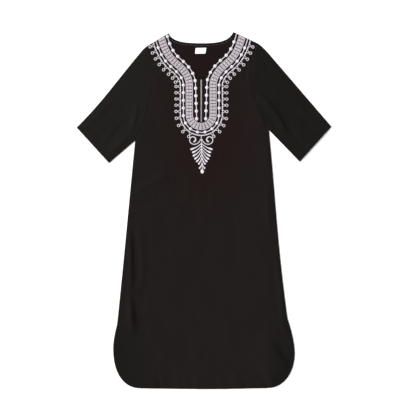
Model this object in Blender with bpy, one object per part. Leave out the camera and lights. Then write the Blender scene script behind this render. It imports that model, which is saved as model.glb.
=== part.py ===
"""A short-sleeved thobe laid flat with its front up, in metres.

The neck points towards +Y and the front faces +Z. In the tables below a reach is measured from
the garment's centre line and a height from the lowest point of its hem. The left side is the one
at -X. At the end the whole garment is moved so that the middle of its plan lies over the origin,
with the flat underside of the back panel and the sleeves on z = 0.
"""

import math
from typing import NamedTuple

import bmesh
import bpy
import numpy as np
from mathutils import Vector
from mathutils.geometry import interpolate_bezier


class Side(NamedTuple):
    """Where one side of the garment lies: reaches from the centre line, heights above the hem.

    The sag is how far the sleeve's top edge falls inside a straight line.
    """

    sign: int
    foot_reach: float
    foot_height: float
    flare_reach: float
    flare_height: float
    vent_reach: float
    vent_height: float
    side_bow: float
    underarm_reach: float
    underarm_height: float
    shoulder_reach: float
    shoulder_height: float
    cap_reach: float
    cap_height: float
    tip_reach: float
    tip_height: float
    cuff_reach: float
    cuff_height: float
    neck_reach: float
    neck_height: float
    band_reach: float
    band_height: float
    bend_reach: float
    bend_height: float
    corner_fullness: float
    top_sag: float
    inner_dots: int
    inner_dot_pitch: float


class Fold(NamedTuple):
    """A soft ridge, or a trough where its rise is negative, along a straight line in plan."""

    start_x: float
    start_height: float
    end_x: float
    end_height: float
    width: float
    rise: float


LEFT = Side(
    sign=-1,
    foot_reach=0.2209,
    foot_height=0.0029,
    flare_reach=0.3227,
    flare_height=0.1510,
    vent_reach=0.3085,
    vent_height=0.2347,
    side_bow=-0.0008,
    underarm_reach=0.2430,
    underarm_height=0.9031,
    shoulder_reach=0.1997,
    shoulder_height=1.2472,
    cap_reach=0.2343,
    cap_height=1.2109,
    tip_reach=0.4555,
    tip_height=0.9511,
    cuff_reach=0.3378,
    cuff_height=0.8219,
    neck_reach=0.1219,
    neck_height=1.2938,
    band_reach=0.1470,
    band_height=1.2756,
    bend_reach=0.0924,
    bend_height=1.1832,
    corner_fullness=2.3,
    top_sag=0.0050,
    inner_dots=13,
    inner_dot_pitch=0.0277,
)
RIGHT = Side(
    sign=1,
    foot_reach=0.2385,
    foot_height=0.0038,
    flare_reach=0.3376,
    flare_height=0.1328,
    vent_reach=0.3114,
    vent_height=0.2565,
    side_bow=-0.0049,
    underarm_reach=0.2438,
    underarm_height=0.9416,
    shoulder_reach=0.2041,
    shoulder_height=1.2568,
    cap_reach=0.2445,
    cap_height=1.2178,
    tip_reach=0.4712,
    tip_height=0.9544,
    cuff_reach=0.3558,
    cuff_height=0.8266,
    neck_reach=0.1145,
    neck_height=1.2985,
    band_reach=0.1463,
    band_height=1.2804,
    bend_reach=0.0931,
    bend_height=1.1868,
    corner_fullness=2.1,
    top_sag=0.0,
    inner_dots=12,
    inner_dot_pitch=0.0284,
)
SIDES = {"left": LEFT, "right": RIGHT}

# Cloth
CLOTH = 0.0012
SEAM_GAP = 0.0003
ARMHOLE_GAP = 0.0005
LOFT = 0.0022
EDGE_RUN = 0.024
NECK_SETTLE = 0.6
HEM_POWER = 1.3
VENT_POWER = 1.6
SIDE_BOW_POWER = 1.6
TOP_SAG_POWER = 1.5

# Handles of the armhole's curve, inward and along the body from its two ends
ARMHOLE_TOP_IN = 0.0490
ARMHOLE_TOP_DOWN = 0.0860
ARMHOLE_LOW_IN = 0.0560
ARMHOLE_LOW_UP = 0.1020

# Handles of the sleeve cap's curve at the shoulder, outward and down
CAP_START_OUT = 0.0150
CAP_START_DOWN = 0.0110
CAP_END_IN = 0.0120
CAP_END_UP = 0.0140

# Back neck, and the front's slit and neckline, which lie a little to the left of the centre line
BACK_NECK_HEIGHT = 1.2578
BACK_NECK_SIDE_IN = 0.0140
BACK_NECK_SIDE_DOWN = 0.0260
BACK_NECK_FLAT = 0.0800
OPENING_X = -0.0022
SLIT_FOOT_HEIGHT = 0.9695
SLIT_TOP_HEIGHT = 1.1250
SLIT_HALF = 0.0004
NOTCH_REACH = 0.0207
NOTCH_HEIGHT = 1.1350
NECK_CURVE_START = 0.0150

# Middle line of the ladder band: from the shoulder, past a bend, down beside the slit and round it
BAND_STRAIGHT_REACH = 0.0433
BAND_STRAIGHT_HEIGHT = 1.1050
BAND_TURN_HEIGHT = 0.9979
BAND_SHOULDER_HANDLE = (0.0095, -0.0353)
BAND_BEND_HANDLE = (0.0300, -0.0245)
BAND_STRAIGHT_HANDLE = 0.0290
SHOULDER_MARGIN = 0.0015
SEAM_REACH = 0.0500
NECK_EDGE_OFFSET = -0.0298

# Thick embroidery: offsets are from the band's middle line, outwards from the slit
EMBROIDERY = 0.0010
EMBROIDERY_GAP = 0.0004
LADDER_EDGES = (-0.0132, -0.0098, -0.0011, 0.0011, 0.0098, 0.0132)
RUNG_PITCH = 0.0116
RUNG_WIDTH = 0.0088
LADDER_TURN = 0.0232
INNER_DOTS_OFFSET = -0.0226
INNER_DOTS_FOOT_HEIGHT = 0.9765
INNER_DOTS_LEAN = 0.0044
INNER_DOTS_FIRST = 0.0066
INNER_DOT_RADIUS = 0.0062
OUTER_DOTS_OFFSET = 0.0215
OUTER_DOTS_PER_SIDE = 14
OUTER_DOT_PITCH = 0.0279
OUTER_DOT_RADIUS = 0.0058
DOT_SHOULDER = 0.6
DOT_SHOULDER_HALF = 0.86
DOT_HEIGHT = 0.0018
DOT_LINE_HALF = 0.0018
LOOP_LINE_OFFSET = 0.0324
LOOP_LINE_HALF = 0.0020
LOOPS_PER_SIDE = 17
LOOP_FIRST = 0.0395
LOOP_PITCH = 0.0227
LOOP_OFFSET = 0.0158
LOOP_RADIUS = 0.0060
LOOP_HOLE = 0.0026
LOOP_SIDES = 8
LOOP_BOTTOM_STEPS = 6

# Slit cords
CORD_TOP_WIDTH = 0.0019
CORD_FOOT_WIDTH = 0.0014
CORD_CLEARANCE = 0.0001
CORD_FOOT_MARGIN = 0.0012

# Scrolls and palmette below the slit
SCROLL_REACH = 0.0294
SCROLL_HEIGHT = 0.9060
SCROLL_END_RADIUS = 0.0055
SCROLL_CURL = 0.0066
SCROLL_CURL_POWER = 4
SCROLL_ARM = 0.0126
SCROLL_ARM_POWER = 6
SCROLL_START_DEGREES = 2.0
SCROLL_TURN_DEGREES = 446.0
SCROLL_STEPS = 20
SCROLL_HALF = 0.0018
SCROLL_END_HALF = 0.0036
SCROLL_END_POWER = 6
PALMETTE_TOP = 0.9198
PALMETTE_FOOT = 0.8018
PALMETTE_HALF = 0.0020
PALMETTE_LEAN = 0.0037
LEAF_ROOT_HALF = 0.0018
LEAF_CLUB_HALF = 0.0036
LEAF_STATIONS = (0.0, 0.35, 0.68, 0.90, 1.0)
LEAF_FULLNESS = (0.0, 0.05, 0.60, 1.0, 0.55)
LEAF_SAG = 0.15
# Leaf pairs from the top: height of the root, reach and drop
LEAVES = (
    (0.8925, 0.0400, 0.0215),
    (0.8840, 0.0338, 0.0246),
    (0.8740, 0.0318, 0.0270),
    (0.8655, 0.0263, 0.0300),
    (0.8530, 0.0199, 0.0271),
    (0.8400, 0.0128, 0.0232),
    (0.8185, 0.0108, 0.0170),
)
DROP_HEIGHT = 0.7925
DROP_HALF_WIDTH = 0.0066
DROP_HALF_LENGTH = 0.0086
DROP_NARROWING = 0.40
DROP_SIDES = 10

# Label inside the back neck, sewn at its top edge and lying a little askew
LABEL_TOP_LEFT = (-0.0229, 1.2407)
LABEL_TOP_RIGHT = (0.0166, 1.2414)
LABEL_FOOT_RIGHT = (0.0127, 1.2200)
LABEL_FOOT_LEFT = (-0.0247, 1.2192)
LABEL_THICKNESS = 0.0006

# The largest folds of the upper layer: start, end, width and rise
FOLDS = (
    Fold(-0.191, 1.198, -0.183, 1.034, 0.022, -0.0012),
    Fold(-0.325, 0.852, -0.253, 0.914, 0.020, 0.0022),
    Fold(0.213, 1.041, 0.297, 0.943, 0.020, 0.0030),
    Fold(-0.249, 0.699, -0.140, 0.761, 0.022, 0.0025),
    Fold(-0.187, 0.688, -0.187, 0.568, 0.045, 0.0022),
    Fold(-0.249, 0.568, -0.220, 0.361, 0.024, -0.0015),
    Fold(0.250, 0.736, 0.257, 0.590, 0.022, 0.0022),
    Fold(0.257, 0.161, 0.300, 0.052, 0.035, 0.0025),
    Fold(-0.151, 0.000, -0.148, 0.065, 0.030, 0.0022),
    Fold(-0.005, 0.000, -0.003, 0.070, 0.030, 0.0015),
    Fold(0.140, 0.000, 0.137, 0.060, 0.030, 0.0020),
)

# How finely each piece is divided
HALF_COLUMNS = 9
CORNER_ROWS = 6
FLARE_ROWS = 3
SIDE_ROWS = 14
SLIT_ROWS = 5
NECK_ROWS = 7
ARMHOLE_STEPS = SLIT_ROWS + 1 + NECK_ROWS
SLEEVE_STATIONS = (0.0, 0.06, 0.13, 0.24, 0.38, 0.53, 0.68, 0.84, 1.0)
CURVE_STEPS = 24
CAP_STEPS = 5
TOP_STEPS = 8

# Colours, linear
BLACK_CLOTH = (0.0168, 0.0130, 0.0123, 1.0)
PALE_THREAD = (0.76, 0.69, 0.74, 1.0)
WHITE_SATIN = (0.87, 0.88, 0.86, 1.0)
GREY_CORD = (0.40, 0.39, 0.39, 1.0)


def clear_scene():
    """Remove every object that the file starts with."""
    for obj in list(bpy.data.objects):
        bpy.data.objects.remove(obj, do_unlink=True)


def make_material(name, color, roughness):
    """A Principled material of one colour."""
    material = bpy.data.materials.new(name)
    material.use_nodes = True
    shader = material.node_tree.nodes["Principled BSDF"]
    shader.inputs["Base Color"].default_value = color
    shader.inputs["Roughness"].default_value = roughness
    shader.inputs["Metallic"].default_value = 0.0
    return material


def bezier(start, start_handle, end_handle, end, steps=CURVE_STEPS):
    """Points along a cubic curve in plan."""
    knots = [Vector((x, y, 0.0)) for x, y in (start, start_handle, end_handle, end)]
    return np.array([point[:2] for point in interpolate_bezier(*knots, steps + 1)])


def walk(line):
    """Distance walked at each point of a line."""
    return np.concatenate([[0.0], np.cumsum(np.linalg.norm(np.diff(line, axis=0), axis=1))])


def points_at(line, distances):
    """Points of a line at distances along it."""
    walked = walk(line)
    return np.column_stack([np.interp(distances, walked, line[:, axis]) for axis in (0, 1)])


def resample(line, steps):
    """The same line in equal steps of its own length."""
    return points_at(line, np.linspace(0.0, walk(line)[-1], steps + 1))


def left_normals(line):
    """Unit normals on the left hand of someone walking along the line."""
    along = np.gradient(line, axis=0)
    along /= np.linalg.norm(along, axis=1)[:, None]
    return np.column_stack([-along[:, 1], along[:, 0]])


def ribbon(line, normals, halves):
    """Plan points of a strip with the given half width on each side of each point of a line."""
    sides = [line - normals * halves[:, None], line + normals * halves[:, None]]
    return np.stack(sides, axis=1).reshape(-1, 2)


# Outlines in plan


def at(side, reach, height):
    """A plan point of one side."""
    return np.array([side.sign * reach, height])


def side_seam(side):
    """From the foot of the rounded tail, up the vent and the side seam, to the underarm."""
    quarter = np.linspace(0.0, math.pi / 2, CORNER_ROWS + 1)
    power = 2.0 / side.corner_fullness
    reach = side.foot_reach + (side.flare_reach - side.foot_reach) * np.sin(quarter) ** power
    height = side.foot_height + (side.flare_height - side.foot_height) * (1 - np.cos(quarter) ** power)
    corner = np.column_stack([reach, height])

    step = np.linspace(0.0, 1.0, FLARE_ROWS + 1)[1:]
    reach = side.flare_reach + (side.vent_reach - side.flare_reach) * step**VENT_POWER
    height = side.flare_height + (side.vent_height - side.flare_height) * step
    flare = np.column_stack([reach, height])

    step = np.linspace(0.0, 1.0, SIDE_ROWS + 1)[1:]
    reach = side.vent_reach + (side.underarm_reach - side.vent_reach) * step
    reach = reach + side.side_bow * np.sin(math.pi * (1 - step) ** SIDE_BOW_POWER)
    height = side.vent_height + (side.underarm_height - side.vent_height) * step
    seam = np.column_stack([reach, height])
    return np.concatenate([corner, flare, seam]) * (side.sign, 1.0)


def armhole(side, steps):
    """From the underarm up to the shoulder."""
    line = bezier(
        at(side, side.underarm_reach, side.underarm_height),
        at(side, side.underarm_reach - ARMHOLE_LOW_IN, side.underarm_height + ARMHOLE_LOW_UP),
        at(side, side.shoulder_reach - ARMHOLE_TOP_IN, side.shoulder_height - ARMHOLE_TOP_DOWN),
        at(side, side.shoulder_reach, side.shoulder_height),
    )
    return resample(line, steps)


def sleeve_top(side):
    """From the shoulder, round the sleeve's cap, to the cuff's upper corner."""
    cap = bezier(
        at(side, side.shoulder_reach, side.shoulder_height),
        at(side, side.shoulder_reach + CAP_START_OUT, side.shoulder_height - CAP_START_DOWN),
        at(side, side.cap_reach - CAP_END_IN, side.cap_height + CAP_END_UP),
        at(side, side.cap_reach, side.cap_height),
        CAP_STEPS,
    )
    step = np.linspace(0.0, 1.0, TOP_STEPS + 1)[1:]
    tip = at(side, side.tip_reach, side.tip_height)
    run = tip - cap[-1]
    inward = np.array([-side.sign * abs(run[1]), -abs(run[0])]) / np.linalg.norm(run)
    sag = side.top_sag * np.sin(math.pi * step**TOP_SAG_POWER)
    return np.concatenate([cap, cap[-1] + step[:, None] * run + sag[:, None] * inward])


def back_neck(side):
    """From the neck point down to the middle of the back neck."""
    return bezier(
        at(side, side.neck_reach, side.neck_height),
        at(side, side.neck_reach - BACK_NECK_SIDE_IN, side.neck_height - BACK_NECK_SIDE_DOWN),
        (side.sign * BACK_NECK_FLAT, BACK_NECK_HEIGHT),
        (0.0, BACK_NECK_HEIGHT),
        NECK_ROWS,
    )


def band_half(side):
    """Middle line of the ladder band on one side, from the shoulder to the start of its turn."""
    start = at(side, side.band_reach, side.band_height)
    bend = at(side, side.bend_reach, side.bend_height)
    straight = np.array([OPENING_X + side.sign * BAND_STRAIGHT_REACH, BAND_STRAIGHT_HEIGHT])
    mirror = np.array([-side.sign, 1.0])
    shoulder_handle = mirror * BAND_SHOULDER_HANDLE
    bend_handle = mirror * BAND_BEND_HANDLE
    straight_handle = np.array([0.0, BAND_STRAIGHT_HANDLE])
    upper = bezier(start, start + shoulder_handle, bend - bend_handle, bend)
    lower = bezier(bend, bend + bend_handle, straight + straight_handle, straight)
    run = np.linspace(BAND_STRAIGHT_HEIGHT, BAND_TURN_HEIGHT, CURVE_STEPS + 1)[1:]
    beside = np.column_stack([np.full(len(run), straight[0]), run])
    return np.concatenate([upper, lower[1:], beside])


def band_line():
    """Middle line of the ladder band from the left shoulder, round the slit, to the right one."""
    turn = np.linspace(math.pi, 2 * math.pi, 2 * CURVE_STEPS + 1)[1:-1]
    around = np.column_stack([np.cos(turn), np.sin(turn)]) * BAND_STRAIGHT_REACH
    around = around + (OPENING_X, BAND_TURN_HEIGHT)
    return np.concatenate([band_half(LEFT), around, band_half(RIGHT)[::-1]])


def offset_line(line, offset):
    """The line moved away from the slit by an offset. The slit is on the left of its walk."""
    return line - left_normals(line) * offset


def below_shoulder(side, line):
    """A line that starts near the shoulder seam, made to start just below the seam."""
    neck = at(side, side.neck_reach, side.neck_height)
    shoulder = at(side, side.shoulder_reach, side.shoulder_height)
    along = (shoulder - neck) / np.linalg.norm(shoulder - neck)
    into_body = np.array([-along[1], along[0]]) * -side.sign
    first_step = line[0] - line[1]
    above_seam = line[0] + first_step / np.linalg.norm(first_step) * SEAM_REACH
    line = np.concatenate([[above_seam], line])
    depth = (line - neck) @ into_body - SHOULDER_MARGIN
    first = int(np.argmax(depth > 0.0))
    share = depth[first - 1] / (depth[first - 1] - depth[first])
    crossing = line[first - 1] + share * (line[first] - line[first - 1])
    return np.concatenate([[crossing], line[first:]])


def motif_line(offset):
    """One line of the embroidery, at an offset from the band's middle, from shoulder to shoulder."""
    line = below_shoulder(LEFT, offset_line(band_line(), offset))
    return below_shoulder(RIGHT, line[::-1])[::-1]


def half_line(side, offset):
    """The line at an offset from the band's middle, from one shoulder down beside the slit."""
    half = band_half(side)
    return offset_line(half, offset) if side is LEFT else offset_line(half[::-1], offset)[::-1]


def neckline(side):
    """The front's neckline on one side, from the notch above the slit up to the neck point."""
    line = half_line(side, NECK_EDGE_OFFSET)
    between = (line[:, 1] > NOTCH_HEIGHT) & (line[:, 1] < side.neck_height - NECK_CURVE_START)
    neck = at(side, side.neck_reach, side.neck_height)
    notch = (OPENING_X + side.sign * NOTCH_REACH, NOTCH_HEIGHT)
    return np.concatenate([[notch], line[between][::-1], [neck]])


def front_opening(side):
    """The front's inner edge on one side: up the slit, across the notch, up the neckline."""
    slit = np.column_stack(
        [
            OPENING_X + side.sign * SLIT_HALF * np.minimum(np.arange(SLIT_ROWS + 1), 1),
            np.linspace(SLIT_FOOT_HEIGHT, SLIT_TOP_HEIGHT, SLIT_ROWS + 1),
        ]
    )
    return np.concatenate([slit, resample(neckline(side), NECK_ROWS)])


# Height of the upper layer


def segments(*lines):
    """Starts and ends of all the segments of some lines."""
    starts = np.concatenate([line[:-1] for line in lines])
    ends = np.concatenate([line[1:] for line in lines])
    return starts, ends


def distance(plan, starts, ends):
    """Distance of each plan point from the nearest of some segments."""
    run = ends - starts
    length = np.maximum((run**2).sum(axis=1), 1e-12)
    away = plan[:, None] - starts[None]
    share = np.clip((away * run[None]).sum(axis=2) / length, 0.0, 1.0)
    return np.linalg.norm(away - share[:, :, None] * run[None], axis=2).min(axis=1)


def sewn_edges():
    """The edges where the upper layer comes down onto the lower one."""
    lines = []
    for side in SIDES.values():
        neck = at(side, side.neck_reach, side.neck_height)
        lines.append(np.concatenate([[neck], sleeve_top(side)]))
        cuff = at(side, side.cuff_reach, side.cuff_height)
        lines.append(np.concatenate([[cuff], side_seam(side)[::-1]]))
    return segments(*lines)


SEWN_EDGES = sewn_edges()
NECK_EDGES = segments(neckline(LEFT), neckline(RIGHT))


def upper_underside(plan):
    """Height of the underside of the upper layer over each plan point."""
    plan = np.asarray(plan, float)
    rise = np.full(len(plan), LOFT)
    for fold in FOLDS:
        start = np.array([[fold.start_x, fold.start_height]])
        end = np.array([[fold.end_x, fold.end_height]])
        rise = rise + fold.rise * np.exp(-((distance(plan, start, end) / fold.width) ** 2))
    rise = np.maximum(rise, 0.0)
    rise = rise * (1.0 - np.exp(-distance(plan, *SEWN_EDGES) / EDGE_RUN))
    rise = rise * (1.0 - NECK_SETTLE * np.exp(-distance(plan, *NECK_EDGES) / EDGE_RUN))
    return CLOTH + SEAM_GAP + rise


# Meshes


def finish_object(name, mesh_data, material, collection, root):
    """Put a bmesh in a named object that hangs from the root empty."""
    bmesh.ops.recalc_face_normals(mesh_data, faces=mesh_data.faces)
    if mesh_data.calc_volume(signed=True) < 0:
        bmesh.ops.reverse_faces(mesh_data, faces=mesh_data.faces)
    mesh = bpy.data.meshes.new(name)
    mesh_data.to_mesh(mesh)
    mesh_data.free()
    mesh.materials.append(material)
    obj = bpy.data.objects.new(name, mesh)
    obj.parent = root
    collection.objects.link(obj)
    return obj


def raise_sheet(plan, faces, lower, thickness):
    """A solid from a sheet of faces over plan points: its lower heights and its thickness."""
    mesh_data = bmesh.new()
    vertices = [mesh_data.verts.new((x, y, z)) for (x, y), z in zip(plan, lower)]
    sheet = [mesh_data.faces.new([vertices[index] for index in face]) for face in faces]
    depths = np.broadcast_to(thickness, len(plan))
    depth_over = {tuple(vertex.co): float(depth) for vertex, depth in zip(vertices, depths)}
    raised = bmesh.ops.extrude_face_region(mesh_data, geom=sheet, use_keep_orig=True)
    for item in raised["geom"]:
        if isinstance(item, bmesh.types.BMVert):
            item.co.z += depth_over[tuple(item.co)]
    return mesh_data


def coons(foot, top, left, right, up=None):
    """Grid of plan points between four edges that share their corners."""
    across = np.linspace(0.0, 1.0, len(foot))[None, :, None]
    up = (np.linspace(0.0, 1.0, len(left)) if up is None else np.array(up))[:, None, None]
    rows = (1 - up) * foot[None] + up * top[None]
    columns = (1 - across) * left[:, None] + across * right[:, None]
    corners = (1 - up) * ((1 - across) * foot[0] + across * foot[-1])
    corners = corners + up * ((1 - across) * top[0] + across * top[-1])
    return rows + columns - corners


def straight(start, end, steps):
    """Plan points in equal steps from one point to another."""
    share = np.linspace(0.0, 1.0, steps + 1)[:, None]
    return (1 - share) * np.asarray(start) + share * np.asarray(end)


def grid_faces(rows, columns, start=0):
    """Four-cornered faces of a grid whose points are numbered row by row."""
    return [
        (
            start + row * columns + column,
            start + row * columns + column + 1,
            start + (row + 1) * columns + column + 1,
            start + (row + 1) * columns + column,
        )
        for row in range(rows - 1)
        for column in range(columns - 1)
    ]


def weld_plan(plan, faces):
    """Points at the same place made one, and faces renumbered."""
    _, first, index = np.unique(np.round(plan, 6), axis=0, return_index=True, return_inverse=True)
    index = index.reshape(-1)
    return plan[first], [tuple(int(index[corner]) for corner in face) for face in faces]


def front_plan():
    """Plan points and faces of the front panel: skirt below, and two halves beside the opening."""
    slit_foot = np.array([OPENING_X, SLIT_FOOT_HEIGHT])
    sides = {name: side_seam(side) for name, side in SIDES.items()}
    underarm_row = np.concatenate(
        [
            straight(sides["left"][-1], slit_foot, HALF_COLUMNS),
            straight(slit_foot, sides["right"][-1], HALF_COLUMNS)[1:],
        ]
    )
    hem = straight(sides["left"][0], sides["right"][0], 2 * HALF_COLUMNS)
    across = np.linspace(-1.0, 1.0, len(hem))
    hem[:, 1] = hem[:, 1] * np.abs(across) ** HEM_POWER
    grids = [coons(hem, underarm_row, sides["left"], sides["right"])]
    for side in SIDES.values():
        arm = armhole(side, ARMHOLE_STEPS)
        opening = front_opening(side)
        foot = straight(opening[0], arm[0], HALF_COLUMNS)
        top = straight(opening[-1], arm[-1], HALF_COLUMNS)
        grids.append(coons(foot, top, opening, arm))
    plan = np.concatenate([grid.reshape(-1, 2) for grid in grids])
    faces = []
    start = 0
    for grid in grids:
        rows, columns = grid.shape[:2]
        faces += grid_faces(rows, columns, start)
        start += rows * columns
    return weld_plan(plan, faces)


def make_front():
    """Front panel: one wall of cloth over the back, lofted and folded as it lies."""
    plan, faces = front_plan()
    return raise_sheet(plan, faces, upper_underside(plan), CLOTH)


def back_outline():
    """The back panel's outline, walked from the hem's middle round to it again."""
    right = [side_seam(RIGHT), armhole(RIGHT, ARMHOLE_STEPS)[1:], back_neck(RIGHT)]
    left = [side_seam(LEFT), armhole(LEFT, ARMHOLE_STEPS)[1:], back_neck(LEFT)[:-1]]
    return np.concatenate([[[0.0, 0.0]], np.concatenate(right), np.concatenate(left)[::-1]])


def make_back(material, collection, root):
    """Back panel: a flat outline of cloth that lies on the ground."""
    curve = bpy.data.curves.new("back_panel", "CURVE")
    curve.dimensions = "2D"
    curve.fill_mode = "BOTH"
    curve.extrude = CLOTH / 2
    outline = back_outline()
    spline = curve.splines.new("POLY")
    spline.points.add(len(outline) - 1)
    for point, (x, y) in zip(spline.points, outline):
        point.co = (x, y, 0.0, 1.0)
    spline.use_cyclic_u = True
    curve.materials.append(material)
    back = bpy.data.objects.new("back_panel", curve)
    back.location = (0.0, 0.0, CLOTH / 2)
    back.parent = root
    collection.objects.link(back)


def sleeve_grid(side):
    """Plan points of a sleeve, a row for each station from the armhole to the cuff."""
    arm = armhole(side, ARMHOLE_STEPS)[::-1]
    arm = arm + left_normals(arm) * side.sign * ARMHOLE_GAP
    tip = at(side, side.tip_reach, side.tip_height)
    cuff = at(side, side.cuff_reach, side.cuff_height)
    top_edge = sleeve_top(side)
    stations = np.array(SLEEVE_STATIONS)
    upper = points_at(top_edge, stations * walk(top_edge)[-1])
    upper[0] = arm[0]
    lower = points_at(np.array([arm[-1], cuff]), stations * np.linalg.norm(cuff - arm[-1]))
    return coons(arm, straight(tip, cuff, ARMHOLE_STEPS), upper, lower, stations)


def sleeve_ring(row, inset, edge_inset, floor, top_rise):
    """One closed section of a flattened tube: along its lower layer, then back along its upper.

    Both layers stop short of the section's ends by an inset. A point on each end joins them.
    """
    inward = np.array([row[1] - row[0], row[-2] - row[-1]])
    inward /= np.linalg.norm(inward, axis=1)[:, None]
    ends = row[[0, -1]]
    layer = row.copy()
    layer[[0, -1]] = ends + inward * inset
    edges = ends + inward * edge_inset
    middle = CLOTH + SEAM_GAP / 2
    lower = np.column_stack([layer, np.full(len(layer), floor)])
    upper = np.column_stack([layer, upper_underside(layer) + top_rise])
    return np.concatenate([lower, [[*edges[1], middle]], upper[::-1], [[*edges[0], middle]]])


def make_sleeve(side):
    """Sleeve: a flattened tube, open at the armhole and the cuff, its lower layer on the ground."""
    grid = sleeve_grid(side)
    outer = [sleeve_ring(row, CLOTH, 0.0, 0.0, CLOTH) for row in grid]
    inner = [sleeve_ring(row, CLOTH + SEAM_GAP, CLOTH, CLOTH, 0.0) for row in grid]
    mesh_data = bmesh.new()
    outside = [[mesh_data.verts.new(point) for point in ring] for ring in outer]
    inside = [[mesh_data.verts.new(point) for point in ring] for ring in inner]
    joined = list(zip(outside, outside[1:])) + list(zip(inside, inside[1:]))
    joined += [(outside[0], inside[0]), (outside[-1], inside[-1])]
    for ring, following in joined:
        for index in range(len(ring)):
            mesh_data.faces.new((ring[index - 1], ring[index], following[index], following[index - 1]))
    return mesh_data


# Thick embroidery, raised from the front panel


def sewn_on_front(plan, faces, height):
    """A motif that lies just above the front panel and has the given height at each point."""
    plan = np.asarray(plan, float)
    lower = upper_underside(plan) + CLOTH + EMBROIDERY_GAP
    return raise_sheet(plan, faces, lower, height)


def on_line(line, distances):
    """Points of a line, and unit normals on its right hand, at distances along it."""
    walked = walk(line)
    right = -left_normals(line)
    normals = np.column_stack([np.interp(distances, walked, right[:, axis]) for axis in (0, 1)])
    return points_at(line, distances), normals / np.linalg.norm(normals, axis=1)[:, None]


def make_ladder():
    """Ladder band: three long lines joined by rungs, open between them.

    The rungs stand square to the band, and turn to lie along the seam at each shoulder.
    """
    middle = motif_line(0.0)
    length = walk(middle)[-1]
    rungs = round((length - RUNG_WIDTH) / RUNG_PITCH) + 1
    centres = np.linspace(RUNG_WIDTH / 2, length - RUNG_WIDTH / 2, rungs)
    stations = np.sort(np.concatenate([centres - RUNG_WIDTH / 2, centres + RUNG_WIDTH / 2]))
    points, normals = on_line(middle, stations)
    from_end = np.minimum(stations, length - stations)
    square = np.clip(from_end / LADDER_TURN, 0.0, 1.0)[:, None]
    lines = []
    for offset in LADDER_EDGES:
        line = motif_line(offset)
        along_seam = points_at(line, stations / length * walk(line)[-1])
        lines.append((1.0 - square) * along_seam + square * (points + normals * offset))
    plan = np.stack(lines, axis=1).reshape(-1, 2)
    solid = []
    for index, face in enumerate(grid_faces(len(stations), len(LADDER_EDGES))):
        row, column = divmod(index, len(LADDER_EDGES) - 1)
        in_rung = row % 2 == 0
        in_long_line = column % 2 == 0
        if in_rung or in_long_line:
            solid.append(face)
    return sewn_on_front(plan, solid, EMBROIDERY)


def dotted_strip(line, centres, radius):
    """Plan points, faces and heights of a narrow line that swells into a dot at each centre."""
    station = np.array([-1.0, -DOT_SHOULDER, DOT_SHOULDER, 1.0]) * radius
    shoulder = DOT_SHOULDER_HALF * radius
    half = np.array([DOT_LINE_HALF, shoulder, shoulder, DOT_LINE_HALF])
    height = np.array([EMBROIDERY, DOT_HEIGHT, DOT_HEIGHT, EMBROIDERY])
    stations = np.concatenate([[0.0], (centres[:, None] + station).reshape(-1), [walk(line)[-1]]])
    halves = np.concatenate([[DOT_LINE_HALF], np.tile(half, len(centres)), [DOT_LINE_HALF]])
    heights = np.concatenate([[EMBROIDERY], np.tile(height, len(centres)), [EMBROIDERY]])
    plan = ribbon(*on_line(line, stations), halves)
    return plan, grid_faces(len(stations), 2), np.repeat(heights, 2)


def inner_dots_line(side):
    """From a shoulder along the neckline, then down beside the slit, leaning in towards its foot."""
    line = below_shoulder(side, half_line(side, INNER_DOTS_OFFSET))
    upper = line[line[:, 1] > BAND_STRAIGHT_HEIGHT]
    share = np.linspace(0.0, 1.0, CURVE_STEPS + 1)
    reach = BAND_STRAIGHT_REACH + INNER_DOTS_OFFSET - INNER_DOTS_LEAN * share
    height = BAND_STRAIGHT_HEIGHT + (INNER_DOTS_FOOT_HEIGHT - BAND_STRAIGHT_HEIGHT) * share
    return np.concatenate([upper, np.column_stack([OPENING_X + side.sign * reach, height])])


def make_inner_dots(side):
    """Line of dots along the neckline and the slit, on one side, counted from its foot."""
    line = inner_dots_line(side)[::-1]
    centres = INNER_DOTS_FIRST + side.inner_dot_pitch * np.arange(side.inner_dots)
    return sewn_on_front(*dotted_strip(line, centres, INNER_DOT_RADIUS))


def lowest(line):
    """Distance along a line to its lowest point."""
    return walk(line)[np.argmin(line[:, 1])]


def make_outer_dots():
    """Line of dots outside the ladder band, from shoulder to shoulder."""
    line = motif_line(OUTER_DOTS_OFFSET)
    steps = np.arange(-OUTER_DOTS_PER_SIDE, OUTER_DOTS_PER_SIDE) + 0.5
    return sewn_on_front(*dotted_strip(line, lowest(line) + steps * OUTER_DOT_PITCH, OUTER_DOT_RADIUS))


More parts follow.
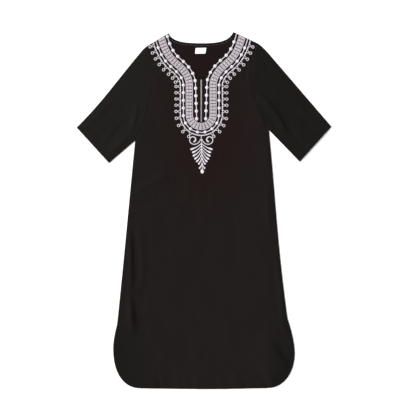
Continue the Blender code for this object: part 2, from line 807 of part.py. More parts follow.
def make_looped_cord():
    """Outermost line: a narrow cord with a ring on a short stem at each step."""
    line = motif_line(LOOP_LINE_OFFSET)
    steps = LOOP_FIRST + LOOP_PITCH * np.arange(LOOPS_PER_SIDE)
    centres = lowest(line) + np.concatenate([-steps[::-1], steps])
    turn = 2 * math.pi / LOOP_SIDES
    stem_half = LOOP_RADIUS * math.sin(turn / 2)
    between = lowest(line) + np.linspace(-LOOP_FIRST, LOOP_FIRST, LOOP_BOTTOM_STEPS + 1)[1:-1]
    stations = [[0.0], centres - stem_half, between, centres + stem_half, [walk(line)[-1]]]
    stations = np.sort(np.concatenate(stations))
    plan = list(ribbon(*on_line(line, stations), np.full(len(stations), LOOP_LINE_HALF)))
    faces = grid_faces(len(stations), 2)
    angles = (np.arange(LOOP_SIDES) - 0.5) * turn
    for centre, point, outward in zip(centres, *on_line(line, centres)):
        across = np.array([-outward[1], outward[0]])
        spokes = np.outer(np.sin(angles), across) - np.outer(np.cos(angles), outward)
        outer = len(plan)
        inner = outer + LOOP_SIDES
        for radius in (LOOP_RADIUS, LOOP_HOLE):
            plan += list(point + outward * LOOP_OFFSET + spokes * radius)
        for corner in range(LOOP_SIDES):
            after = (corner + 1) % LOOP_SIDES
            faces.append((outer + corner, outer + after, inner + after, inner + corner))
        stem_before = 2 * int(np.searchsorted(stations, centre)) - 1
        faces.append((stem_before, stem_before + 2, outer + 1, outer))
    return sewn_on_front(plan, faces, EMBROIDERY)


def make_slit_cord(side):
    """Cord sewn along one edge of the slit."""
    share = np.linspace(0.0, 1.0, 2 * SLIT_ROWS + 1)
    foot = SLIT_FOOT_HEIGHT + CORD_FOOT_MARGIN
    heights = foot + (SLIT_TOP_HEIGHT - foot) * share
    inner = np.full(len(share), SLIT_HALF + CORD_CLEARANCE)
    outer = inner + CORD_FOOT_WIDTH + (CORD_TOP_WIDTH - CORD_FOOT_WIDTH) * share
    reach = OPENING_X + side.sign * np.column_stack([inner, outer])
    plan = np.stack([reach, np.column_stack([heights, heights])], axis=2).reshape(-1, 2)
    return sewn_on_front(plan, grid_faces(len(heights), 2), EMBROIDERY)


def make_scroll(side):
    """Scroll beside the point below the slit: a cord that curls into a thick end."""
    share = np.linspace(0.0, 1.0, SCROLL_STEPS + 1)
    angle = np.radians(SCROLL_START_DEGREES - SCROLL_TURN_DEGREES * share)
    radius = SCROLL_END_RADIUS + SCROLL_CURL * (1.0 - share**SCROLL_CURL_POWER)
    radius = radius + SCROLL_ARM * (1.0 - share) ** SCROLL_ARM_POWER
    centre = np.array([OPENING_X + side.sign * SCROLL_REACH, SCROLL_HEIGHT])
    mirror = np.array([-side.sign, 1.0])
    line = np.column_stack([np.cos(angle), np.sin(angle)]) * radius[:, None]
    line = centre + line * mirror
    halves = SCROLL_HALF + (SCROLL_END_HALF - SCROLL_HALF) * share**SCROLL_END_POWER
    return sewn_on_front(ribbon(line, left_normals(line), halves), grid_faces(len(line), 2), EMBROIDERY)


def leaf_line(root, sign, reach, drop):
    """Middle line of a palmette leaf from its root, outwards and down with a slight sag."""
    share = np.array(LEAF_STATIONS)
    fall = drop * (share + LEAF_SAG * np.sin(math.pi * share))
    return np.column_stack([root[0] + sign * reach * share, root[1] - fall])


def make_palmette():
    """Palmette: a stem with pairs of club-ended leaves, shorter towards its foot."""
    roots = np.array([root for root, _, _ in LEAVES])
    beside = np.column_stack([roots + LEAF_ROOT_HALF, roots - LEAF_ROOT_HALF]).ravel()
    heights = np.concatenate([[PALMETTE_TOP], beside, [PALMETTE_FOOT]])
    lean = PALMETTE_LEAN * (PALMETTE_TOP - heights) / (PALMETTE_TOP - PALMETTE_FOOT)
    stem = np.column_stack([OPENING_X + lean, heights])
    sideways = np.tile((1.0, 0.0), (len(stem), 1))
    plan = list(ribbon(stem, sideways, np.full(len(stem), PALMETTE_HALF)))
    faces = grid_faces(len(stem), 2)
    halves = LEAF_ROOT_HALF + (LEAF_CLUB_HALF - LEAF_ROOT_HALF) * np.array(LEAF_FULLNESS)
    for pair, (_, reach, drop) in enumerate(LEAVES):
        for column, sign in enumerate((-1, 1)):
            upper_root = 2 * (2 * pair + 1) + column
            lower_root = upper_root + 2
            root = (plan[upper_root] + plan[lower_root]) / 2
            line = leaf_line(root, sign, reach, drop)
            start = len(plan)
            plan += list(ribbon(line, left_normals(line) * sign, halves)[2:])
            faces.append((lower_root, upper_root, start + 1, start))
            faces += grid_faces(len(line) - 1, 2, start)
    return sewn_on_front(plan, faces, EMBROIDERY)


def make_drop():
    """Teardrop that hangs below the palmette."""
    turn = 2 * math.pi * np.arange(DROP_SIDES) / DROP_SIDES
    narrowing = 1.0 - DROP_NARROWING * np.maximum(np.cos(turn), 0.0)
    x = OPENING_X + PALMETTE_LEAN + DROP_HALF_WIDTH * np.sin(turn) * narrowing
    y = DROP_HEIGHT + DROP_HALF_LENGTH * np.cos(turn)
    return sewn_on_front(np.column_stack([x, y]), [tuple(range(DROP_SIDES))], EMBROIDERY)


def make_label():
    """Bare woven label that lies on the inside of the back panel."""
    plan = [LABEL_FOOT_LEFT, LABEL_FOOT_RIGHT, LABEL_TOP_RIGHT, LABEL_TOP_LEFT]
    return raise_sheet(np.array(plan), [(0, 1, 2, 3)], np.full(4, CLOTH + SEAM_GAP), LABEL_THICKNESS)


def garment_middle():
    """Middle of the garment's plan box."""
    left = LEFT.sign * LEFT.tip_reach
    right = RIGHT.sign * RIGHT.tip_reach
    top = max(LEFT.neck_height, RIGHT.neck_height)
    return (left + right) / 2, top / 2


def main():
    """Build every piece of the thobe in one collection under one empty."""
    clear_scene()
    collection = bpy.data.collections.new("thobe")
    bpy.context.scene.collection.children.link(collection)
    root = bpy.data.objects.new("thobe_origin", None)
    middle_x, middle_y = garment_middle()
    root.location = (-middle_x, -middle_y, 0.0)
    collection.objects.link(root)

    cloth = make_material("black_cloth", BLACK_CLOTH, 0.85)
    thread = make_material("pale_thread", PALE_THREAD, 0.55)
    satin = make_material("white_satin", WHITE_SATIN, 0.5)
    cord = make_material("grey_cord", GREY_CORD, 0.6)

    make_back(cloth, collection, root)
    finish_object("front_panel", make_front(), cloth, collection, root)
    for name, side in SIDES.items():
        finish_object(f"sleeve_{name}", make_sleeve(side), cloth, collection, root)
        finish_object(f"slit_cord_{name}", make_slit_cord(side), cord, collection, root)
        finish_object(f"inner_dots_{name}", make_inner_dots(side), thread, collection, root)
        finish_object(f"scroll_{name}", make_scroll(side), thread, collection, root)
    finish_object("neck_label", make_label(), satin, collection, root)
    finish_object("ladder_band", make_ladder(), thread, collection, root)
    finish_object("outer_dots", make_outer_dots(), thread, collection, root)
    finish_object("looped_cord", make_looped_cord(), thread, collection, root)
    finish_object("palmette", make_palmette(), thread, collection, root)
    finish_object("palmette_drop", make_drop(), thread, collection, root)


main()
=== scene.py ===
"""A short-sleeved black thobe laid flat with its front up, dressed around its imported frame.

The neck points towards +Y and the front faces +Z. A place in the tables below is a reach from the
garment's centre line and a height above the lowest point of its hem, in metres. The left side is
the one at -X. Meshes are made in those garment coordinates and then moved onto the frame.
"""

import logging
import math
from dataclasses import dataclass, replace
from enum import Enum
from typing import Callable, Iterable, Sequence

import bpy
import numpy as np
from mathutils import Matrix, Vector
from mathutils.geometry import interpolate_bezier


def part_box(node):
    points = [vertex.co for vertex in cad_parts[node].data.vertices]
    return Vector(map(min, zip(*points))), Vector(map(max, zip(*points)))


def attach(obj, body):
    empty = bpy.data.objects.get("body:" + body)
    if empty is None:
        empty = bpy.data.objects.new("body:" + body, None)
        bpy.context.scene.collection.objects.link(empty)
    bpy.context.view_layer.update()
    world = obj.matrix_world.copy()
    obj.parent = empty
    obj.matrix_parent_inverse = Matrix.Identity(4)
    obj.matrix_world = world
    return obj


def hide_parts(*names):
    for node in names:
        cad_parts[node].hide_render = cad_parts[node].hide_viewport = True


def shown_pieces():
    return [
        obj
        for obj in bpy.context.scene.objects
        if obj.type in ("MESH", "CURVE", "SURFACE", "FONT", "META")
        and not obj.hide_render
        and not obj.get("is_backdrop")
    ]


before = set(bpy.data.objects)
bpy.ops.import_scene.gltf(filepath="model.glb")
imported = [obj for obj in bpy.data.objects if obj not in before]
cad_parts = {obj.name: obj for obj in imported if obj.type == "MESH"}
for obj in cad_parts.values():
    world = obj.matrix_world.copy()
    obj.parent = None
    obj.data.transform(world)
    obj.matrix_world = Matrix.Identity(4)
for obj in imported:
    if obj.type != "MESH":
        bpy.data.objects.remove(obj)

LOG = logging.getLogger("thobe")
Pair = tuple[float, float]
Triple = tuple[float, float, float]
Colour = tuple[float, float, float, float]
Ground = Callable[[np.ndarray], np.ndarray]
Socket = bpy.types.NodeSocket
Measure = float | np.ndarray
Material = bpy.types.Material
Object = bpy.types.Object
# Steps in a curve, plan points that are measured together, and a size too small to matter.
CURVE_STEPS = 24
BATCH = 4000
TINY = 1e-12


def bezier(start: Pair, start_handle: Pair, end_handle: Pair, end: Pair) -> np.ndarray:
    """Points along a cubic curve in plan, from its two ends and the handle of each."""
    knots = [Vector((x, y, 0.0)) for x, y in (start, start_handle, end_handle, end)]
    return np.array([point[:2] for point in interpolate_bezier(*knots, CURVE_STEPS + 1)])


def walk(line: np.ndarray) -> np.ndarray:
    """Distance walked at each point of a line."""
    return np.concatenate([[0.0], np.cumsum(np.linalg.norm(np.diff(line, axis=0), axis=1))])


def points_at(line: np.ndarray, distances: np.ndarray) -> np.ndarray:
    """Points of a line at distances along it."""
    walked = walk(line)
    return np.column_stack([np.interp(distances, walked, line[:, axis]) for axis in (0, 1)])


def resample(line: np.ndarray, steps: int) -> np.ndarray:
    """The same line in equal steps of its own length."""
    return points_at(line, np.linspace(0.0, walk(line)[-1], steps + 1))


def spaced(line: np.ndarray, pitch: float) -> np.ndarray:
    """The same line in an even number of equal steps close to a pitch."""
    return resample(line, 2 * max(round(walk(line)[-1] / pitch / 2), 2))


def left_normals(line: np.ndarray) -> np.ndarray:
    """Unit normals on the left hand of someone walking along the line.

    Args:
        line: the points that are walked, a row each.

    Returns:
        A normal for each point.
    """
    along = np.gradient(line, axis=0)
    along /= np.linalg.norm(along, axis=1)[:, None]
    return np.column_stack([-along[:, 1], along[:, 0]])


def on_line(line: np.ndarray, distances: np.ndarray) -> tuple[np.ndarray, np.ndarray]:
    """Points of a line, and unit normals on its right hand, at distances along it.

    Args:
        line: points, a row each.
        distances: how far along it each place is.

    Returns:
        The points, and the normals.
    """
    walked = walk(line)
    right = -left_normals(line)
    normals = np.column_stack([np.interp(distances, walked, right[:, axis]) for axis in (0, 1)])
    return points_at(line, distances), normals / np.linalg.norm(normals, axis=1)[:, None]


def straight(start: Pair, end: Pair, shares: np.ndarray) -> np.ndarray:
    """Points between two points at shares of the way."""
    shares = np.asarray(shares)[:, None]
    return (1 - shares) * np.asarray(start) + shares * np.asarray(end)


def segments(*lines: np.ndarray) -> tuple[np.ndarray, np.ndarray]:
    """Starts and ends of all the segments of some lines."""
    return np.concatenate([line[:-1] for line in lines]), np.concatenate([line[1:] for line in lines])


def distance(plan: np.ndarray, edges: tuple[np.ndarray, np.ndarray]) -> np.ndarray:
    """Distance of each plan point from the nearest of some segments.

    Args:
        plan: points, a row each.
        edges: starts and ends of the segments.

    Returns:
        One distance for each point.
    """
    starts, ends = edges
    run = ends - starts
    length = np.maximum((run**2).sum(axis=1), TINY)
    found = []
    for part in np.array_split(plan, max(len(plan) // BATCH, 1)):
        away = part[:, None] - starts[None]
        share = np.clip((away * run[None]).sum(axis=2) / length, 0.0, 1.0)
        found.append(np.linalg.norm(away - share[:, :, None] * run[None], axis=2).min(axis=1))
    return np.concatenate(found)


def smooth(low: float, high: float, values: np.ndarray) -> np.ndarray:
    """A soft step from 0 below the low value to 1 above the high one."""
    share = np.clip((values - low) / (high - low), 0.0, 1.0)
    return share * share * (3 - 2 * share)


@dataclass(frozen=True)
class Cut:
    """Sizes that both sides of the cut share, read from the class itself.

    A power bends a run of an edge, and a handle is how far a curve's control point is from its end.
    """

    hem_power: float = 1.3
    vent_power: float = 1.6
    bow_power: float = 1.6
    sag_power: float = 1.5
    armhole_low: Pair = (0.0560, 0.1020)
    armhole_top: Pair = (0.0490, 0.0860)
    cap_start: Pair = (0.0150, 0.0110)
    cap_end: Pair = (0.0120, 0.0140)
    back_neck_height: float = 1.2578
    back_neck_flat: float = 0.0800
    back_neck_side: Pair = (0.0140, 0.0260)
    opening_x: float = -0.0022
    slit_foot: float = 0.9695
    slit_top: float = 1.1250
    slit_half: float = 0.0004
    slit_point: float = 0.0010
    notch: Pair = (0.0207, 1.1350)
    neck_curve_start: float = 0.0150
    neck_offset: float = -0.0298
    band_reach: float = 0.0433
    band_top: float = 1.1050
    band_turn: float = 0.9979
    shoulder_handle: Pair = (0.0095, -0.0353)
    bend_handle: Pair = (0.0300, -0.0245)
    straight_handle: float = 0.0290
    seam_margin: float = 0.0015
    seam_reach: float = 0.0500


@dataclass(frozen=True)
class Side:
    """The cut of one side of the garment. Each place is a reach and a height.

    The sleeve's flat size is the whole way round it by its length, with the area of its cloth. Its
    painted tone scales the sleeve's cloth colour beside the body's: painted light above 1, painted
    shade below 1, for how the light falls on each sleeve.
    """

    name: str
    sign: int
    foot: Pair
    flare: Pair
    vent: Pair
    bow: float
    underarm: Pair
    shoulder: Pair
    cap: Pair
    tip: Pair
    cuff: Pair
    neck: Pair
    band: Pair
    bend: Pair
    corner_fullness: float
    top_sag: float
    inner_dots: int
    inner_pitch: float
    sleeve_flat: Pair
    sleeve_area: float
    sleeve_painted_light_shade: float

    def at(self, place: Pair, out: float = 0.0, up: float = 0.0) -> np.ndarray:
        """The plan point of a place, moved outwards and up."""
        return np.array([self.sign * (place[0] + out), place[1] + up])

    def side_seam(self) -> np.ndarray:
        """The outer edge from the foot of the rounded tail, past the vent, to the underarm.

        Returns:
            Points along it, a row each.
        """
        quarter = np.linspace(0.0, math.pi / 2, 2 * CURVE_STEPS + 1)
        power = 2.0 / self.corner_fullness
        reach = self.foot[0] + (self.flare[0] - self.foot[0]) * np.sin(quarter) ** power
        height = self.foot[1] + (self.flare[1] - self.foot[1]) * (1 - np.cos(quarter) ** power)
        corner = np.column_stack([reach, height])
        step = np.linspace(0.0, 1.0, CURVE_STEPS + 1)[1:]
        reach = self.flare[0] + (self.vent[0] - self.flare[0]) * step**Cut.vent_power
        flare = np.column_stack([reach, self.flare[1] + (self.vent[1] - self.flare[1]) * step])
        seam = straight(self.vent, self.underarm, step)
        seam[:, 0] += self.bow * np.sin(math.pi * (1 - step) ** Cut.bow_power)
        return np.concatenate([corner, flare, seam]) * (self.sign, 1.0)

    def free_edge(self) -> np.ndarray:
        """The edge below the vent, which no seam holds."""
        line = self.side_seam()
        return line[line[:, 1] <= self.vent[1] + TINY]

    def armhole(self) -> np.ndarray:
        """From the underarm up to the shoulder.

        Returns:
            Points along it, a row each.
        """
        return bezier(
            self.at(self.underarm),
            self.at(self.underarm, -Cut.armhole_low[0], Cut.armhole_low[1]),
            self.at(self.shoulder, -Cut.armhole_top[0], -Cut.armhole_top[1]),
            self.at(self.shoulder),
        )

    def sleeve_top(self) -> np.ndarray:
        """From the shoulder, round the sleeve's cap, to the cuff's upper corner.

        Returns:
            Points along it, a row each.
        """
        cap = bezier(
            self.at(self.shoulder),
            self.at(self.shoulder, Cut.cap_start[0], -Cut.cap_start[1]),
            self.at(self.cap, -Cut.cap_end[0], Cut.cap_end[1]),
            self.at(self.cap),
        )
        step = np.linspace(0.0, 1.0, CURVE_STEPS + 1)[1:]
        run = self.at(self.tip) - cap[-1]
        inward = np.array([-self.sign * abs(run[1]), -abs(run[0])]) / np.linalg.norm(run)
        sag = self.top_sag * np.sin(math.pi * step**Cut.sag_power)
        return np.concatenate([cap, cap[-1] + step[:, None] * run + sag[:, None] * inward])

    def back_neck(self) -> np.ndarray:
        """From the middle of the back neck out to the neck point.

        Returns:
            Points along it, a row each.
        """
        return bezier(
            (0.0, Cut.back_neck_height),
            (self.sign * Cut.back_neck_flat, Cut.back_neck_height),
            self.at(self.neck, -Cut.back_neck_side[0], -Cut.back_neck_side[1]),
            self.at(self.neck),
        )

    def band_half(self) -> np.ndarray:
        """Middle line of the ladder band from the shoulder to the start of its turn.

        Returns:
            Points along it, a row each.
        """
        bend = self.at(self.bend)
        straight_top = np.array([Cut.opening_x + self.sign * Cut.band_reach, Cut.band_top])
        mirror = np.array([-self.sign, 1.0])
        bend_handle = mirror * Cut.bend_handle
        start = self.at(self.band)
        upper = bezier(start, start + mirror * Cut.shoulder_handle, bend - bend_handle, bend)
        above = straight_top + (0.0, Cut.straight_handle)
        lower = bezier(bend, bend + bend_handle, above, straight_top)
        foot = (straight_top[0], Cut.band_turn)
        beside = straight(straight_top, foot, np.linspace(0.0, 1.0, CURVE_STEPS + 1)[1:])
        return np.concatenate([upper, lower[1:], beside])

    def half_line(self, offset: float) -> np.ndarray:
        """The line at an offset from the band's middle, from the shoulder down beside the slit."""
        return self.band_half() - left_normals(self.band_half()) * offset * -self.sign

    def neckline(self) -> np.ndarray:
        """The front's neckline, from the notch above the slit up to the neck point.

        Returns:
            Points along it, a row each.
        """
        line = self.half_line(Cut.neck_offset)
        between = (line[:, 1] > Cut.notch[1]) & (line[:, 1] < self.neck[1] - Cut.neck_curve_start)
        return np.concatenate([[self.notch()], line[between][::-1], [self.at(self.neck)]])

    def notch(self) -> np.ndarray:
        """The neckline's lowest corner, above the slit."""
        return np.array([Cut.opening_x + self.sign * Cut.notch[0], Cut.notch[1]])

    def below_seam(self, line: np.ndarray) -> np.ndarray:
        """A line that starts near the shoulder seam, made to start just below the seam.

        Args:
            line: points from the seam onwards, a row each.

        Returns:
            The line cut short or made longer.
        """
        neck, shoulder = self.at(self.neck), self.at(self.shoulder)
        along = (shoulder - neck) / np.linalg.norm(shoulder - neck)
        into_body = np.array([-along[1], along[0]]) * -self.sign
        step = line[0] - line[1]
        line = np.concatenate([[line[0] + step / np.linalg.norm(step) * Cut.seam_reach], line])
        depth = (line - neck) @ into_body - Cut.seam_margin
        first = int(np.argmax(depth > 0.0))
        share = depth[first - 1] / (depth[first - 1] - depth[first])
        crossing = line[first - 1] + share * (line[first] - line[first - 1])
        return np.concatenate([[crossing], line[first:]])


LEFT = Side(
    name="left",
    sign=-1,
    foot=(0.2209, 0.0029),
    flare=(0.3227, 0.1510),
    vent=(0.3085, 0.2347),
    bow=-0.0008,
    underarm=(0.2430, 0.9031),
    shoulder=(0.1997, 1.2472),
    cap=(0.2343, 1.2109),
    tip=(0.4555, 0.9511),
    cuff=(0.3378, 0.8219),
    neck=(0.1219, 1.2938),
    band=(0.1470, 1.2756),
    bend=(0.0924, 1.1832),
    corner_fullness=2.3,
    top_sag=0.0050,
    inner_dots=13,
    inner_pitch=0.0277,
    sleeve_flat=(0.4236, 0.5492),
    sleeve_area=0.115,
    sleeve_painted_light_shade=1.06,
)
RIGHT = Side(
    name="right",
    sign=1,
    foot=(0.2385, 0.0038),
    flare=(0.3376, 0.1328),
    vent=(0.3114, 0.2565),
    bow=-0.0049,
    underarm=(0.2438, 0.9416),
    shoulder=(0.2041, 1.2568),
    cap=(0.2445, 1.2178),
    tip=(0.4712, 0.9544),
    cuff=(0.3558, 0.8266),
    neck=(0.1145, 1.2985),
    band=(0.1463, 1.2804),
    bend=(0.0931, 1.1868),
    corner_fullness=2.1,
    top_sag=0.0,
    inner_dots=12,
    inner_pitch=0.0284,
    sleeve_flat=(0.4280, 0.5810),
    sleeve_area=0.117,
    sleeve_painted_light_shade=0.82,
)
SIDES = (LEFT, RIGHT)


def band_line() -> np.ndarray:
    """Middle line of the ladder band from the left shoulder, round the slit, to the right one.

    Returns:
        Points along it, a row each.
    """
    turn = np.linspace(math.pi, 2 * math.pi, 2 * CURVE_STEPS + 1)[1:-1]
    around = np.column_stack([np.cos(turn), np.sin(turn)]) * Cut.band_reach
    around = around + (Cut.opening_x, Cut.band_turn)
    return np.concatenate([LEFT.band_half(), around, RIGHT.band_half()[::-1]])


def motif_line(offset: float) -> np.ndarray:
    """A line of the embroidery from shoulder to shoulder, at an offset from the band's middle."""
    line = band_line() - left_normals(band_line()) * offset
    return RIGHT.below_seam(LEFT.below_seam(line)[::-1])[::-1]


def lowest(line: np.ndarray) -> float:
    """Distance along a line to its lowest point."""
    return walk(line)[np.argmin(line[:, 1])]


@dataclass(frozen=True)
class Fold:
    """A soft ridge of cloth, or a trough where its rise is negative, between two places in plan.

    A crease fades towards its ends and may bow sideways. A swell keeps its height to its ends.
    """

    start: Pair
    end: Pair
    width: float
    rise: float
    bow: float = 0.0
    crease: bool = True
    end_width: float = 0.55

    def height(self, plan: np.ndarray) -> np.ndarray:
        """What the fold adds to the height of the cloth over each plan point.

        Args:
            plan: points, a row each.

        Returns:
            One height for each point.
        """
        start, end = np.array(self.start), np.array(self.end)
        run = end - start
        length = np.linalg.norm(run)
        share = (plan - start) @ run / length**2
        if not self.crease:
            away = np.linalg.norm(plan - start - np.clip(share, 0.0, 1.0)[:, None] * run, axis=1)
            return self.rise * np.exp(-((away / self.width) ** 2))
        across = (plan - start) @ np.array([-run[1], run[0]]) / length
        body = np.clip(4 * share * (1 - share), 0.0, 1.0)
        off = (across - self.bow * body) / (self.width * (self.end_width + (1 - self.end_width) * body))
        return self.rise * body * np.exp(-(off**2))


SWELLS = (
    Fold((-0.191, 1.198), (-0.183, 1.034), 0.022, -0.0012, crease=False),
    Fold((-0.325, 0.852), (-0.253, 0.914), 0.020, 0.0022, crease=False),
    Fold((0.213, 1.041), (0.297, 0.943), 0.020, 0.0030, crease=False),
    Fold((-0.249, 0.699), (-0.140, 0.761), 0.022, 0.0025, crease=False),
    Fold((-0.187, 0.688), (-0.187, 0.568), 0.045, 0.0022, crease=False),
    Fold((-0.249, 0.568), (-0.220, 0.361), 0.024, -0.0015, crease=False),
    Fold((0.250, 0.736), (0.257, 0.590), 0.022, 0.0022, crease=False),
    Fold((0.257, 0.161), (0.300, 0.052), 0.035, 0.0025, crease=False),
    Fold((-0.151, 0.000), (-0.148, 0.065), 0.030, 0.0022, crease=False),
    Fold((-0.005, 0.000), (-0.003, 0.070), 0.030, 0.0015, crease=False),
    Fold((0.140, 0.000), (0.137, 0.060), 0.030, 0.0020, crease=False),
)
CREASES = (
    Fold((-0.258, 0.705), (-0.118, 0.776), 0.0110, 0.0036, 0.008),
    Fold((-0.240, 0.655), (-0.146, 0.706), 0.0130, -0.0026, -0.005),
    Fold((-0.250, 0.640), (-0.190, 0.668), 0.0090, 0.0022, 0.003),
    Fold((-0.267, 0.600), (-0.260, 0.345), 0.0120, 0.0074, 0.004),
    Fold((-0.246, 0.590), (-0.239, 0.350), 0.0110, -0.0050, 0.004),
    Fold((-0.266, 0.352), (-0.256, 0.190), 0.0130, 0.0056, 0.003),
    Fold((-0.242, 0.350), (-0.228, 0.205), 0.0120, -0.0032, 0.003),
    Fold((-0.228, 0.610), (-0.222, 0.340), 0.0150, 0.0040, 0.005),
    Fold((-0.222, 0.378), (-0.214, 0.290), 0.0100, -0.0030, 0.002),
    Fold((-0.262, 0.340), (-0.240, 0.190), 0.0120, 0.0026, -0.006),
    Fold((-0.232, 0.320), (-0.205, 0.170), 0.0140, -0.0018, 0.006),
    Fold((0.200, 1.080), (0.306, 0.936), 0.0105, 0.0068, 0.008),
    Fold((0.200, 1.046), (0.276, 0.936), 0.0100, -0.0050, 0.002),
    Fold((0.206, 1.000), (0.228, 0.956), 0.0080, 0.0030, 0.002),
    Fold((0.232, 0.900), (0.243, 0.790), 0.0080, 0.0030, 0.002),
    Fold((0.160, 1.210), (0.154, 1.110), 0.0080, -0.0020, 0.003),
    Fold((0.232, 1.206), (0.238, 1.140), 0.0090, -0.0024, 0.002),
    Fold((0.190, 1.190), (0.186, 1.120), 0.0080, 0.0016, 0.002),
    Fold((0.238, 0.745), (0.246, 0.580), 0.0090, 0.0036, -0.003),
    Fold((0.272, 0.520), (0.296, 0.215), 0.0140, 0.0056, 0.004),
    Fold((0.254, 0.470), (0.272, 0.300), 0.0130, -0.0020, 0.003),
    Fold((0.222, 0.210), (0.258, -0.010), 0.0400, 0.0088, 0.004),
    Fold((0.236, 0.170), (0.318, 0.030), 0.0150, 0.0044, 0.012),
    Fold((0.262, 0.190), (0.330, 0.090), 0.0130, -0.0030, -0.006),
    Fold((0.196, 0.096), (0.272, 0.014), 0.0130, 0.0038, 0.005),
    Fold((0.288, 0.240), (0.326, 0.150), 0.0110, 0.0030, 0.004),
    Fold((-0.045, 0.738), (-0.026, 0.680), 0.0075, -0.0020, 0.002),
    Fold((0.008, 0.738), (0.032, 0.680), 0.0075, -0.0020, -0.002),
    Fold((-0.012, 0.700), (0.004, 0.570), 0.0170, 0.0022, 0.003),
    Fold((-0.172, 0.066), (-0.142, -0.016), 0.0100, -0.0034, 0.002),
    Fold((-0.046, 0.056), (-0.018, -0.016), 0.0110, -0.0026, -0.002),
    Fold((0.128, 0.072), (0.176, -0.018), 0.0120, -0.0036, 0.003),
    Fold((0.206, 0.062), (0.248, -0.008), 0.0110, -0.0030, 0.002),
    Fold((-0.100, 0.050), (-0.080, -0.012), 0.0120, 0.0022, 0.002),
    Fold((0.060, 0.052), (0.086, -0.014), 0.0120, 0.0020, 0.002),
    Fold((-0.236, 1.046), (-0.262, 0.920), 0.0100, 0.0034, 0.004),
    Fold((-0.300, 1.072), (-0.430, 0.940), 0.0150, 0.0030, -0.006),
    Fold((-0.256, 0.992), (-0.352, 0.890), 0.0130, -0.0028, 0.005),
    Fold((-0.262, 0.930), (-0.336, 0.862), 0.0120, 0.0030, 0.004),
    Fold((-0.330, 0.960), (-0.392, 0.902), 0.0130, -0.0020, 0.003),
    Fold((0.292, 1.085), (0.414, 0.958), 0.0140, 0.0032, 0.006),
    Fold((0.286, 1.006), (0.386, 0.862), 0.0130, -0.0030, -0.005),
    Fold((0.318, 0.960), (0.372, 0.884), 0.0110, 0.0026, 0.004),
    Fold((0.352, 1.000), (0.420, 0.930), 0.0120, -0.0018, 0.003),
    Fold((-0.118, 0.530), (-0.094, 0.320), 0.0160, 0.0016, 0.008),
    Fold((0.118, 0.650), (0.138, 0.410), 0.0170, -0.0016, -0.008),
    Fold((0.060, 0.310), (0.116, 0.130), 0.0160, 0.0018, 0.006),
    Fold((-0.070, 0.250), (-0.050, 0.100), 0.0150, -0.0016, 0.004),
    Fold((-0.180, 0.200), (-0.130, 0.090), 0.0150, 0.0020, 0.006),
)


